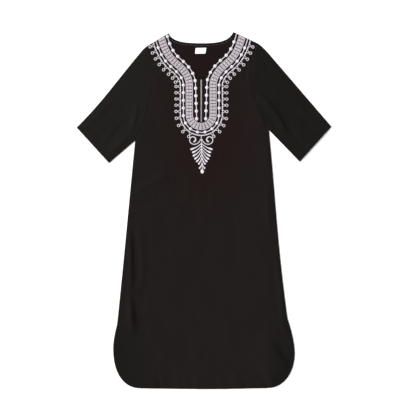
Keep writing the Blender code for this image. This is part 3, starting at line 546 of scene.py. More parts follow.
@dataclass
class Drape:
    """How the cloth lies: the heights of its upper and lower layers over every plan point."""

    cloth: float = 0.0012
    seam_gap: float = 0.0003
    loft: float = 0.0022
    edge_run: float = 0.024
    crease_run: float = 0.008
    neck_settle: float = 0.6
    slack: float = 0.00056
    slack_lengths: tuple[float, ...] = (0.150, 0.110, 0.083, 0.061, 0.046, 0.034, 0.027)
    slack_stretch: float = 1.9
    slack_seed: int = 11
    armhole_groove: float = 0.0017
    groove_half: float = 0.0046
    least_rise: float = -0.0006
    pucker_length: float = 0.0135
    pucker_share: float = 0.25
    hem_rise: float = 0.0004
    hem_width: float = 0.0125
    hem_settle: float = 0.6
    settle_run: float = 0.014
    cuff_width: float = 0.0190
    turned_edge: Pair = (-0.0004, 0.0012)
    stitch_in: float = 0.0014
    stitch_half: float = 0.0009
    stitch_depth: float = 0.00025
    back_face: float = 0.0010
    back_ridge: Fold = Fold((-0.0240, 1.2120), (-0.0140, 1.1350), 0.0060, 0.0006, 0.002)
    back_corner: Fold = Fold((-0.1000, 1.2500), (-0.0760, 1.1900), 0.0090, 0.0005, 0.003)
    roll: float = 0.0006
    roll_run: float = 0.0020

    def __post_init__(self) -> None:
        """Work out the edges that hold the cloth down, and a fixed set of slack waves."""
        held = [np.concatenate([[side.at(side.neck)], side.sleeve_top()]) for side in SIDES]
        held += [np.concatenate([[side.at(side.cuff)], side.side_seam()[::-1]]) for side in SIDES]
        self.held = segments(*held)
        self.neck = segments(*(side.neckline() for side in SIDES))
        self.armholes = segments(*(side.armhole() for side in SIDES))
        hem = np.array([LEFT.at(LEFT.foot), (0.0, 0.0), RIGHT.at(RIGHT.foot)])
        self.hem = segments(hem_line())
        self.cuffs = segments(*(np.array([side.at(side.tip), side.at(side.cuff)]) for side in SIDES))
        slit = np.array([(Cut.opening_x, Cut.slit_foot), (Cut.opening_x, Cut.slit_top)])
        shoulders = [np.array([side.at(side.neck), side.at(side.shoulder)]) for side in SIDES]
        seams = [side.side_seam() for side in SIDES]
        self.edges = segments(hem, slit, *shoulders, *seams, *(side.neckline() for side in SIDES))
        draw = np.random.default_rng(self.slack_seed)
        self.turns = draw.uniform(0.0, 2 * math.pi, len(self.slack_lengths))
        self.phases = draw.uniform(0.0, 2 * math.pi, (len(self.slack_lengths), 2))

    def waves(self, plan: np.ndarray) -> np.ndarray:
        """Slack in the cloth: long shallow waves that run every way.

        Args:
            plan: points, a row each.

        Returns:
            One height for each point.
        """
        total = np.zeros(len(plan))
        for length, turn, phase in zip(self.slack_lengths, self.turns, self.phases):
            along = plan @ np.array([math.cos(turn), math.sin(turn)])
            across = plan @ np.array([-math.sin(turn), math.cos(turn)])
            wave = np.sin(2 * math.pi * along / length + phase[0])
            wave = wave * np.sin(2 * math.pi * across / (self.slack_stretch * length) + phase[1])
            total += wave * length
        return total / max(self.slack_lengths) * self.slack

    def band(self, away: np.ndarray, width: float) -> np.ndarray:
        """Relief of a turned and stitched edge at each distance from that edge.

        Args:
            away: distances from the edge.
            width: how wide the turned edge is.

        Returns:
            One height for each distance.
        """
        low, high = self.turned_edge
        step = self.hem_rise * (1 - smooth(width + low, width + high, away))
        stitch = np.exp(-(((away - width + self.stitch_in) / self.stitch_half) ** 2))
        return step - self.stitch_depth * stitch

    def top(self, plan: np.ndarray) -> np.ndarray:
        """Height of the upper face of the upper layer over each plan point.

        Args:
            plan: points, a row each.

        Returns:
            One height for each point.
        """
        plan = np.asarray(plan, float)
        rise = np.full(len(plan), self.loft)
        for fold in SWELLS:
            rise = rise + fold.height(plan)
        rise = np.maximum(rise + self.waves(plan), 0.0)
        from_held = distance(plan, self.held)
        rise = rise * (1.0 - np.exp(-from_held / self.edge_run))
        rise = rise * (1.0 - self.neck_settle * np.exp(-distance(plan, self.neck) / self.edge_run))
        from_hem = distance(plan, self.hem)
        rise = rise * (1.0 - self.hem_settle * np.exp(-from_hem / self.settle_run))
        creased = sum(fold.height(plan) for fold in CREASES)
        rise = np.maximum(rise + creased * (1.0 - np.exp(-from_held / self.crease_run)), 0.0)
        seam = distance(plan, self.armholes)
        pucker = self.pucker_share * np.sin(2 * math.pi * plan.sum(axis=1) / self.pucker_length)
        pucker = 1 - self.pucker_share + pucker
        rise = rise - self.armhole_groove * pucker * np.exp(-((seam / self.groove_half) ** 2))
        rise = np.maximum(rise, self.least_rise)
        rise = rise + self.band(from_hem, self.hem_width)
        rise = rise + self.band(distance(plan, self.cuffs), self.cuff_width)
        return 2 * self.cloth + self.seam_gap + rise

    def lower(self, plan: np.ndarray) -> np.ndarray:
        """Height of the upper face of the back panel over each plan point."""
        rise = self.back_ridge.height(plan) + self.back_corner.height(plan)
        return np.full(len(plan), self.back_face) + rise

    def rolled(self, plan: np.ndarray) -> np.ndarray:
        """How far a panel's edge rolls down at each plan point."""
        return self.roll * (1.0 - np.minimum(distance(plan, self.edges) / self.roll_run, 1.0)) ** 2


def hem_line() -> np.ndarray:
    """The free edge from the left vent, round the tails and the hem, to the right vent.

    Returns:
        Points along it, a row each.
    """
    across = np.linspace(-1.0, 1.0, 2 * CURVE_STEPS + 1)[1:-1]
    middle = straight(LEFT.at(LEFT.foot), RIGHT.at(RIGHT.foot), (across + 1) / 2)
    middle[:, 1] *= np.abs(across) ** Cut.hem_power
    return np.concatenate([LEFT.free_edge()[::-1], middle, RIGHT.free_edge()])


class Layer(Enum):
    """The body's two layers, by the node that each stands for."""

    FRONT = "front_panel"
    BACK = "back_panel"


class Nodes:
    """A material under construction: short calls that add and join its nodes.

    The numbers say where a Mix node keeps its colours, and how far a Wave node turns in a metre.
    """

    colour_inputs = (6, 7)
    colour_output = 2
    wave_radians = 20.0

    def __init__(self, name: str) -> None:
        """Start a material with a Principled shader.

        Args:
            name: the material's name.
        """
        self.material = bpy.data.materials.new(name)
        self.material.use_nodes = True
        self.tree = self.material.node_tree
        self.shader = self.tree.nodes["Principled BSDF"]

    def add(self, kind: str, links: dict[str, Socket] | None = None, **settings: object) -> bpy.types.Node:
        """Add a node.

        Args:
            kind: the node's type, without its ShaderNode prefix.
            links: sockets of other nodes for its inputs, by input name.
            settings: its own properties, or numbers for inputs, with spaces as underscores.

        Returns:
            The new node.
        """
        node = self.tree.nodes.new("ShaderNode" + kind)
        for key, value in settings.items():
            if hasattr(node, key):
                setattr(node, key, value)
            else:
                node.inputs[key.replace("_", " ")].default_value = value
        for key, socket in (links or {}).items():
            self.tree.links.new(socket, node.inputs[key])
        return node

    def places(self) -> Socket:
        """Each place on the garment, in metres."""
        return self.add("TexCoord").outputs["Object"]

    def moved(self, places: Socket, **settings: Triple) -> Socket:
        """Places that are turned, moved or scaled."""
        return self.add("Mapping", {"Vector": places}, **settings).outputs[0]

    def noise(self, places: Socket, scale: float, detail: float) -> Socket:
        """Soft noise over places."""
        return self.add("TexNoise", {"Vector": places}, Scale=scale, Detail=detail).outputs["Fac"]

    def ribs(self, places: Socket, axis: str, pitch: float, **settings: float) -> Socket:
        """Ribs that follow each other along an axis, a pitch apart."""
        settings["Scale"] = 2 * math.pi / self.wave_radians / pitch
        return self.add("TexWave", {"Vector": places}, bands_direction=axis, **settings).outputs["Fac"]

    def bump(self, height: Socket, depth: float, strength: float, under: Socket | None = None) -> Socket:
        """A normal that follows a height, on top of another normal where one is given."""
        links = {"Height": height} if under is None else {"Height": height, "Normal": under}
        return self.add("Bump", links, Strength=strength, Distance=depth).outputs[0]

    def mix(self, share: Socket, low: Colour, high: Colour) -> Socket:
        """A colour between two, by a share.

        Args:
            share: 0 for the low colour to 1 for the high one.
            low, high: the two colours.

        Returns:
            The colour between them.
        """
        node = self.add("Mix", data_type="RGBA")
        self.tree.links.new(share, node.inputs[0])
        for place, colour in zip(self.colour_inputs, (low, high)):
            node.inputs[place].default_value = colour
        return node.outputs[self.colour_output]

    def multiply(self, first: Socket, second: Socket) -> Socket:
        """One colour tinted by another.

        Args:
            first, second: the two colours.

        Returns:
            Their product.
        """
        node = self.add("Mix", data_type="RGBA", blend_type="MULTIPLY", Factor=1.0)
        for place, socket in zip(self.colour_inputs, (first, second)):
            self.tree.links.new(socket, node.inputs[place])
        return node.outputs[self.colour_output]

    def math(self, operation: str, first: Socket, second: Socket | float) -> Socket:
        """The result of a sum on one socket and a second socket or number.

        Args:
            operation: the sum's name in Blender.
            first, second: what it is done on.

        Returns:
            Its result.
        """
        node = self.add("Math", operation=operation)
        self.tree.links.new(first, node.inputs[0])
        if isinstance(second, Socket):
            self.tree.links.new(second, node.inputs[1])
        else:
            node.inputs[1].default_value = second
        return node.outputs[0]

    def mean(self, first: Socket, second: Socket) -> Socket:
        """Halfway between two values."""
        return self.math("MULTIPLY", self.math("ADD", first, second), 0.5)

    def set(self, **values: float) -> None:
        """Set numbers on the shader's own sockets, with spaces as underscores."""
        for key, value in values.items():
            self.shader.inputs[key.replace("_", " ")].default_value = value

    def join(self, socket: Socket, target: str) -> None:
        """Join a socket to one of the shader's."""
        self.tree.links.new(socket, self.shader.inputs[target])


@dataclass(frozen=True)
class Tint:
    """A tint that passes softly into another outside an oval on the cloth.

    The gain is how soon the inner tint is full on the way in from the oval's rim.
    """

    inner: Colour
    outer: Colour
    centre: Pair
    reach: Pair
    gain: float

    def over(self, nodes: Nodes, places: Socket) -> Socket:
        """The tint at each place.

        Args:
            nodes: the material that the tint is for.
            places: the places on the cloth.

        Returns:
            The tint as a colour.
        """
        scale = tuple(1 / reach for reach in self.reach)
        moved = tuple(-at * share for at, share in zip(self.centre, scale))
        oval = nodes.moved(places, Location=(*moved, 0.0), Scale=(*scale, 1.0))
        near = nodes.add("TexGradient", {"Vector": oval}, gradient_type="SPHERICAL").outputs["Fac"]
        return nodes.mix(nodes.math("MULTIPLY", near, self.gain), self.outer, self.inner)


YOKE_TINT = Tint(
    inner=(1.00, 0.79, 0.81, 1.0),
    outer=(0.905, 1.01, 1.02, 1.0),
    centre=(0.0, 0.34),
    reach=(0.21, 0.42),
    gain=1.8,
)
# Painted shade: the cloth darkens towards the body's outer edges, where it turns down away from the light.
RIM_PAINTED_SHADE = Tint(
    inner=(1.0, 1.0, 1.0, 1.0),
    outer=(0.74, 0.86, 0.80, 1.0),
    centre=(0.01, 0.0),
    reach=(0.36, 1.30),
    gain=2.2,
)
SLEEVE_TINT = replace(YOKE_TINT, outer=(0.87, 1.09, 1.05, 1.0))


@dataclass(frozen=True)
class ClothFinish:
    """Matt black plain-woven cloth, its warp turned to a piece's own grain.

    Its tone is how light it is beside the body's cloth. A slub is a thicker stretch of thread.
    """

    dark: Colour = (0.00676, 0.00442, 0.00410, 1.0)
    light: Colour = (0.01280, 0.00900, 0.00830, 1.0)
    # The rim tint is painted shade towards the body's outer edges.
    tints: tuple[Tint, ...] = (YOKE_TINT, RIM_PAINTED_SHADE)
    tone: float = 1.0
    contrast: float = 0.8
    thread_pitch: float = 0.00052
    thread_wander: float = 0.6
    wander_scale: float = 0.4
    grain_degrees: float = 0.0
    weave_share: float = 0.35
    weave_depth: float = 0.00012
    slub_scale: Triple = (420.0, 36.0, 420.0)
    slub_depth: float = 0.00016
    bump_strength: float = 0.5
    patch_scale: float = 9.0
    roughness: Pair = (0.82, 0.95)
    specular: float = 0.05
    sheen: float = 0.015
    sheen_roughness: float = 0.45

    def make(self, name: str) -> Material:
        """The finish as a material with a name.

        Args:
            name: the material's name.

        Returns:
            The material.
        """
        nodes = Nodes(name)
        places = nodes.places()
        turned = nodes.moved(places, Rotation=(0.0, 0.0, math.radians(self.grain_degrees)))
        wander = {"Distortion": self.thread_wander, "Detail": 1.0, "Detail_Scale": self.wander_scale}
        threads = [nodes.ribs(turned, axis, self.thread_pitch, **wander) for axis in ("X", "Y")]
        woven = nodes.math("MAXIMUM", *threads)
        slub = nodes.noise(nodes.moved(turned, Scale=self.slub_scale), scale=1.0, detail=3.0)
        patchy = nodes.mean(slub, nodes.noise(places, self.patch_scale, detail=4.0))
        shade = nodes.math("ADD", patchy, nodes.math("MULTIPLY", woven, self.weave_share))
        ends = [(*(self.tone * level for level in end[:3]), 1.0) for end in (self.dark, self.light)]
        colour = nodes.mix(nodes.math("MULTIPLY", shade, self.contrast), *ends)
        for tint in self.tints:
            colour = nodes.multiply(colour, tint.over(nodes, places))
        nodes.join(colour, "Base Color")
        low, high = self.roughness
        rough = nodes.add("MapRange", {"Value": patchy}, To_Min=low, To_Max=high)
        nodes.join(rough.outputs[0], "Roughness")
        weave = nodes.bump(woven, self.weave_depth, self.bump_strength)
        nodes.join(nodes.bump(slub, self.slub_depth, self.bump_strength, under=weave), "Normal")
        nodes.set(Specular_IOR_Level=self.specular)
        nodes.set(Sheen_Weight=self.sheen, Sheen_Roughness=self.sheen_roughness)
        return nodes.material


@dataclass(frozen=True)
class ThreadFinish:
    """Embroidery or sewing thread: fine fibres that run along each thread."""

    dark: Colour
    light: Colour
    tone_range: Pair = (0.35, 0.62)
    fibre_scale: Triple = (260.0, 5200.0, 1.0)
    fibre_depth: float = 0.00010
    bump_strength: float = 0.6
    patch_scale: float = 240.0
    roughness: float = 0.42
    specular: float = 0.35
    sheen: float = 0.25
    sheen_roughness: float = 0.4

    def make(self, name: str) -> Material:
        """The finish as a material with a name.

        Args:
            name: the material's name.

        Returns:
            The material.
        """
        nodes = Nodes(name)
        marks = nodes.add("UVMap", uv_map=Pad.uv_name).outputs[0]
        fibre = nodes.noise(nodes.moved(marks, Scale=self.fibre_scale), scale=1.0, detail=2.0)
        patchy = nodes.mean(fibre, nodes.noise(nodes.places(), self.patch_scale, detail=2.0))
        low, high = self.tone_range
        share = nodes.add("MapRange", {"Value": patchy}, From_Min=low, From_Max=high).outputs[0]
        nodes.join(nodes.mix(share, self.dark, self.light), "Base Color")
        nodes.join(nodes.bump(fibre, self.fibre_depth, self.bump_strength), "Normal")
        nodes.set(Roughness=self.roughness, Specular_IOR_Level=self.specular)
        nodes.set(Sheen_Weight=self.sheen, Sheen_Roughness=self.sheen_roughness)
        return nodes.material


BAND_THREAD = ThreadFinish(dark=(0.328, 0.288, 0.316, 1.0), light=(0.484, 0.430, 0.468, 1.0))
CORD_THREAD = ThreadFinish(dark=(0.432, 0.389, 0.424, 1.0), light=(0.605, 0.562, 0.597, 1.0))
DOT_THREAD = ThreadFinish(dark=(0.528, 0.484, 0.519, 1.0), light=(0.678, 0.642, 0.678, 1.0))
GREY_THREAD = ThreadFinish(dark=(0.260, 0.247, 0.247, 1.0), light=(0.398, 0.381, 0.381, 1.0))
WHITE_SEWING = ThreadFinish(dark=(0.45, 0.45, 0.45, 1.0), light=(0.60, 0.60, 0.60, 1.0))
BLACK_SEWING = ThreadFinish(
    dark=(0.0060, 0.0055, 0.0055, 1.0), light=(0.0120, 0.0110, 0.0110, 1.0), specular=0.25, sheen=0.05
)


@dataclass(frozen=True)
class SatinFinish:
    """White woven satin of a sewn-in label."""

    dark: Colour = (0.74, 0.75, 0.74, 1.0)
    light: Colour = (0.86, 0.87, 0.86, 1.0)
    thread_pitch: float = 0.00045
    rib_depth: float = 0.00008
    bump_strength: float = 0.5
    fleck_scale: float = 900.0
    roughness: float = 0.45
    specular: float = 0.4
    sheen: float = 0.2
    sheen_roughness: float = 0.4

    def make(self, name: str) -> Material:
        """The finish as a material with a name.

        Args:
            name: the material's name.

        Returns:
            The material.
        """
        nodes = Nodes(name)
        places = nodes.places()
        fleck = nodes.noise(places, self.fleck_scale, detail=2.0)
        nodes.join(nodes.mix(fleck, self.dark, self.light), "Base Color")
        rib = nodes.ribs(places, "X", self.thread_pitch)
        nodes.join(nodes.bump(rib, self.rib_depth, self.bump_strength), "Normal")
        nodes.set(Roughness=self.roughness, Specular_IOR_Level=self.specular)
        nodes.set(Sheen_Weight=self.sheen, Sheen_Roughness=self.sheen_roughness)
        return nodes.material


@dataclass(frozen=True)
class FloorFinish:
    """Plain pale painted floor."""

    dark: Colour = (0.92, 0.92, 0.92, 1.0)
    light: Colour = (0.94, 0.94, 0.94, 1.0)
    patch_scale: float = 2.5
    roughness: float = 0.9
    specular: float = 0.1

    def make(self, name: str) -> Material:
        """The finish as a material with a name.

        Args:
            name: the material's name.

        Returns:
            The material.
        """
        nodes = Nodes(name)
        patch = nodes.noise(nodes.places(), self.patch_scale, detail=2.0)
        nodes.join(nodes.mix(patch, self.dark, self.light), "Base Color")
        nodes.set(Roughness=self.roughness, Specular_IOR_Level=self.specular)
        return nodes.material


def add_mesh(name: str, vertices: np.ndarray, faces: Iterable[Sequence[int]], material: Material) -> Object:
    """A smooth-shaded mesh object.

    Args:
        name: the piece's name.
        vertices: points in garment coordinates, a row each.
        faces: corner numbers of each face.
        material: its finish.

    Returns:
        The object, moved onto the frame and riding on the only body.
    """
    mesh = bpy.data.meshes.new(name)
    mesh.from_pydata((vertices + garment_origin()).tolist(), [], [list(map(int, face)) for face in faces])
    mesh.materials.append(material)
    mesh.shade_smooth()
    obj = bpy.data.objects.new(name, mesh)
    bpy.context.scene.collection.objects.link(obj)
    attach(obj, "root")
    return obj


def add_wall(obj: Object, thickness: float) -> None:
    """Give a sheet its thickness, on the side that its faces turn away from.

    Args:
        obj: the sheet.
        thickness: how thick its cloth is.
    """
    wall = obj.modifiers.new("wall", "SOLIDIFY")
    wall.thickness = thickness
    wall.offset = -1.0


def stand_for(obj: Object, node: str) -> Object:
    """Let a piece stand for a node by hiding the node.

    Args:
        obj: the piece.
        node: the node that it replaces.

    Returns:
        The piece.
    """
    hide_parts(node)
    return obj


def mark_threads(obj: Object, marks: np.ndarray) -> None:
    """Keep each point's places across and along its thread as the piece's UV map.

    Args:
        obj: the piece.
        marks: the two places of each of its points.
    """
    layer = obj.data.uv_layers.new(name=Pad.uv_name)
    corners = np.zeros(len(obj.data.loops), np.int32)
    obj.data.loops.foreach_get("vertex_index", corners)
    layer.uv.foreach_set("vector", marks[corners].astype(np.float32).ravel())


def garment_origin() -> np.ndarray:
    """Where the centre line meets the hem's lowest point, in the frame.

    Returns:
        The place, as the shift from garment coordinates to the frame's.
    """
    back_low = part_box("back_panel")[0]
    sleeve_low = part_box("sleeve_left")[0]
    return np.array([sleeve_low.x + LEFT.tip[0], back_low.y, 0.0])


def graded(length: float, near: Sequence[float], far: Sequence[float], step: float) -> np.ndarray:
    """Shares of a length with close steps at its ends.

    Args:
        length: the length that is divided.
        near, far: distances of the close steps from each end, starting with 0.
        step: the step between them.

    Returns:
        Rising shares from 0 to 1.
    """
    count = max(round((length - near[-1] - far[-1]) / step), 1)
    middle = np.linspace(near[-1], length - far[-1], count + 1)
    return np.concatenate([near[:-1], middle, length - np.array(far[-2::-1])]) / length


def coons(
    foot: np.ndarray,
    top: np.ndarray,
    left: np.ndarray,
    right: np.ndarray,
    across: np.ndarray,
    up: np.ndarray,
) -> np.ndarray:
    """Grid of plan points between four edges that share their corners.

    Args:
        foot, top: its lower and upper edges, from left to right.
        left, right: its side edges, from foot to top.
        across, up: the share at each column and at each row.

    Returns:
        The points, by row and column.
    """
    across = across[None, :, None]
    up = up[:, None, None]
    rows = (1 - up) * foot[None] + up * top[None]
    columns = (1 - across) * left[:, None] + across * right[:, None]
    corners = (1 - up) * ((1 - across) * foot[0] + across * foot[-1])
    corners = corners + up * ((1 - across) * top[0] + across * top[-1])
    return rows + columns - corners


def grid_faces(rows: int, columns: int, start: int = 0, flip: bool = False) -> np.ndarray:
    """Four-cornered faces of a grid whose points are numbered row by row.

    Args:
        rows, columns: how many points it has each way.
        start: the number of its first point.
        flip: whether its columns run towards -X.

    Returns:
        Corner numbers, a row for each face, facing up.
    """
    corner = start + (np.arange(rows - 1)[:, None] * columns + np.arange(columns - 1)[None]).ravel()
    faces = np.column_stack([corner, corner + 1, corner + columns + 1, corner + columns])
    return faces[:, ::-1] if flip else faces


@dataclass
class Pad:
    """Closed, rounded pads of thread that are sewn on the cloth and gathered into one mesh.

    A pad runs between two edge lines. Every other station across it is a valley between threads.
    The ground gives the height of what it is sewn to, over each plan point.
    """

    ground: Ground
    across: tuple[float, ...] = (-1.0, -0.88, -0.5, 0.0, 0.5, 0.88, 1.0)
    valley: float = 0.80
    valley_in: float = 0.94
    sink: float = 0.0002
    end_share: float = 0.04
    end_power: float = 0.5
    dome_least: float = 0.1
    dome_power: float = 0.6
    uv_name: str = "thread"

    def __post_init__(self) -> None:
        """Start with no pads."""
        self.vertices: list[np.ndarray] = []
        self.faces: list[tuple[int, ...]] = []
        self.marks: list[np.ndarray] = []
        self.count = 0

    def between(
        self, left: np.ndarray, right: np.ndarray, height: Measure, closed: bool = False, bare: bool = False
    ) -> None:
        """Add a pad between two edge lines.

        Args:
            left, right: its edges, with as many points each.
            height: how far it stands above the cloth, at all its stations or at each.
            closed: whether its end meets its start.
            bare: whether it is smooth, with no valleys.
        """
        stations = len(left)
        spread = np.array(self.across)
        middle = (left + right) / 2
        valley = (np.arange(stations) % 2 == 1) & (not bare)
        inset = np.where(valley, self.valley_in, 1.0)[:, None, None]
        half = (right - left)[:, None] / 2
        plan = middle[:, None] + half * spread[None, :, None] * inset
        crown = np.sqrt(1 - spread**2)[None]
        tall = np.broadcast_to(height, stations) * np.where(valley, self.valley, 1.0)
        ground = self.ground(middle)[:, None]
        z = ground - self.sink + (tall[:, None] + self.sink) * crown
        points = np.concatenate([plan, z[:, :, None]], axis=2)
        size = len(spread)
        corner = np.arange(stations * size).reshape(stations, size) + self.count
        following = np.roll(corner, -1, axis=0)
        rows = slice(None) if closed else slice(0, -1)
        for column in range(size):
            after = (column + 1) % size
            near = [corner[rows, column], corner[rows, after]]
            far = [following[rows, after], following[rows, column]]
            self.faces += list(map(tuple, np.column_stack(near + far)))
        if not closed:
            self.faces += [tuple(corner[0][::-1]), tuple(corner[-1])]
        width = np.linalg.norm(right - left, axis=1)[:, None] / 2 * spread[None]
        along = np.broadcast_to(walk(middle)[:, None], width.shape)
        self.marks.append(np.stack([width, along], axis=2).reshape(-1, 2))
        self.vertices.append(points.reshape(-1, 3))
        self.count += stations * size

    def along(self, line: np.ndarray, half: Measure, height: Measure, **options: bool) -> None:
        """Add a pad along a line, with a half width at all its points or at each."""
        side = left_normals(line) * np.broadcast_to(half, len(line))[:, None]
        self.between(line + side, line - side, height, **options)

    def rounded(self, line: np.ndarray, half: np.ndarray, height: float, start: float, end: float) -> None:
        """Add a pad along a line whose ends are rounded over the given lengths.

        Args:
            line: its middle, points in a row each.
            half: its half width at each point.
            height: how far it stands above the cloth.
            start, end: the length over which each end is rounded.
        """
        walked = walk(line)
        close = np.clip(np.minimum(walked / start, (walked[-1] - walked) / end), 0.0, 1.0)
        shape = np.maximum(np.sqrt(1 - (1 - close) ** 2), self.end_share)
        self.along(line, half * shape, height * shape**self.end_power)

    def dome(
        self, centre: np.ndarray, along: np.ndarray, radius: float, height: float, pitch: float
    ) -> None:
        """Add a round dome of threads that lie square to a direction.

        Args:
            centre: its middle in plan.
            along: the direction, of unit length.
            radius: its radius in plan.
            height: how far it stands above the cloth.
            pitch: the distance between threads.
        """
        steps = 2 * max(round(radius / pitch), 3)
        offset = np.sin(np.linspace(-math.pi / 2, math.pi / 2, steps + 1)) * radius
        line = centre + offset[:, None] * along
        half = np.sqrt(np.maximum(radius**2 - offset**2, (self.end_share * radius) ** 2))
        self.along(line, half, height * np.maximum(half / radius, self.dome_least) ** self.dome_power)

    def finish(self, name: str, material: Material) -> Object:
        """The pads as one object, with the thread's own directions in its UV map.

        Args:
            name: the object's name.
            material: its finish.

        Returns:
            The object.
        """
        obj = add_mesh(name, np.concatenate(self.vertices), self.faces, material)
        mark_threads(obj, np.concatenate(self.marks))
        return obj


@dataclass
class Panel:
    """A panel of the body: the skirt below, and two halves beside its opening or its middle.

    The front's opening runs up the slit and round the neckline. The back has only a neckline. The
    flat size is the rectangle that both panels are cut from, and the area is the panel's own. Its
    columns are spaced over a mean half width, and its rows over a mean side.
    """

    name: str
    layer: Layer
    drape: Drape
    step: float
    area: float
    flat: Pair = (0.6603, 1.2985)
    thickness: float = 0.0010
    clearance: float = 0.00005
    mean_half: float = 0.300
    mean_side: float = 1.000
    inner_steps: tuple[float, ...] = (0.0, 0.0010, 0.0024, 0.0044, 0.0074)
    outer_steps: tuple[float, ...] = (
        0.0, 0.0008, 0.0020, 0.0045, 0.0078, 0.0102, 0.0116, 0.0130, 0.0150, 0.0185
    )
    weld_digits: int = 6

    def opening(self, side: Side) -> list[np.ndarray]:
        """The inner edge of one half, from the foot of the slit to the neck point, in stretches.

        Args:
            side: which half.

        Returns:
            The stretches, each with its points in a row each.
        """
        if self.layer is Layer.BACK:
            return [np.array([self.slit_foot(), (0.0, Cut.back_neck_height)]), side.back_neck()]
        edge_x = Cut.opening_x + side.sign * Cut.slit_half
        point = (edge_x, Cut.slit_foot + Cut.slit_point)
        slit = np.array([self.slit_foot(), point, (edge_x, Cut.slit_top)])
        return [slit, np.array([slit[-1], side.notch()]), side.neckline()]

    def slit_foot(self) -> Pair:
        """Where the two halves of the panel part."""
        return (Cut.opening_x if self.layer is Layer.FRONT else 0.0), Cut.slit_foot

    def plan(self) -> tuple[np.ndarray, np.ndarray]:
        """Plan points and faces of the whole panel.

        Returns:
            The points, and the corner numbers of each face.
        """
        columns = graded(self.mean_half, self.inner_steps, self.outer_steps, self.step)
        across = np.concatenate([0.5 - 0.5 * columns[::-1], 0.5 + 0.5 * columns[1:]])
        seams = [side.side_seam() for side in SIDES]
        up = graded(self.mean_side, (0.0,), (0.0,), self.step)
        edges = [points_at(seam, up * walk(seam)[-1]) for seam in seams]
        hem = straight(edges[0][0], edges[1][0], across)
        hem[:, 1] *= np.abs(2 * across - 1) ** Cut.hem_power
        halves = [straight(self.slit_foot(), edge[-1], columns) for edge in edges]
        top = np.concatenate([halves[0][::-1], halves[1][1:]])
        grids = [coons(hem, top, edges[0], edges[1], across, up)]
        for side, foot in zip(SIDES, halves):
            stretches = [spaced(stretch, self.step) for stretch in self.opening(side)]
            inner = np.concatenate([stretches[0], *(stretch[1:] for stretch in stretches[1:])])
            arm = resample(side.armhole(), len(inner) - 1)
            rows = np.linspace(0.0, 1.0, len(inner))
            upper = straight(inner[-1], arm[-1], columns)
            grids.append(coons(foot, upper, inner, arm, columns, rows))
        faces = []
        start = 0
        for grid, flip in zip(grids, (False, True, False)):
            faces.append(grid_faces(*grid.shape[:2], start, flip))
            start += grid.shape[0] * grid.shape[1]
        plan = np.concatenate([grid.reshape(-1, 2) for grid in grids])
        rounded = np.round(plan, self.weld_digits)
        _, first, index = np.unique(rounded, axis=0, return_index=True, return_inverse=True)
        return plan[first], index.reshape(-1)[np.concatenate(faces)]

    def heights(self, plan: np.ndarray) -> np.ndarray:
        """Height of the panel's upper face over each plan point.

        Args:
            plan: points, a row each.

        Returns:
            One height for each point.
        """
        if self.layer is Layer.FRONT:
            lowest_face = self.drape.lower(plan) + self.thickness + self.clearance
            return np.maximum(self.drape.top(plan) - self.drape.rolled(plan), lowest_face)
        return self.drape.lower(plan)

    def build(self, material: Material) -> Object:
        """The panel as a thin wall of cloth.

        Args:
            material: its finish.

        Returns:
            The piece, standing for its node.
        """
        plan, faces = self.plan()
        obj = add_mesh(self.name, np.column_stack([plan, self.heights(plan)]), faces, material)
        add_wall(obj, self.thickness)
        return stand_for(obj, self.layer.value)


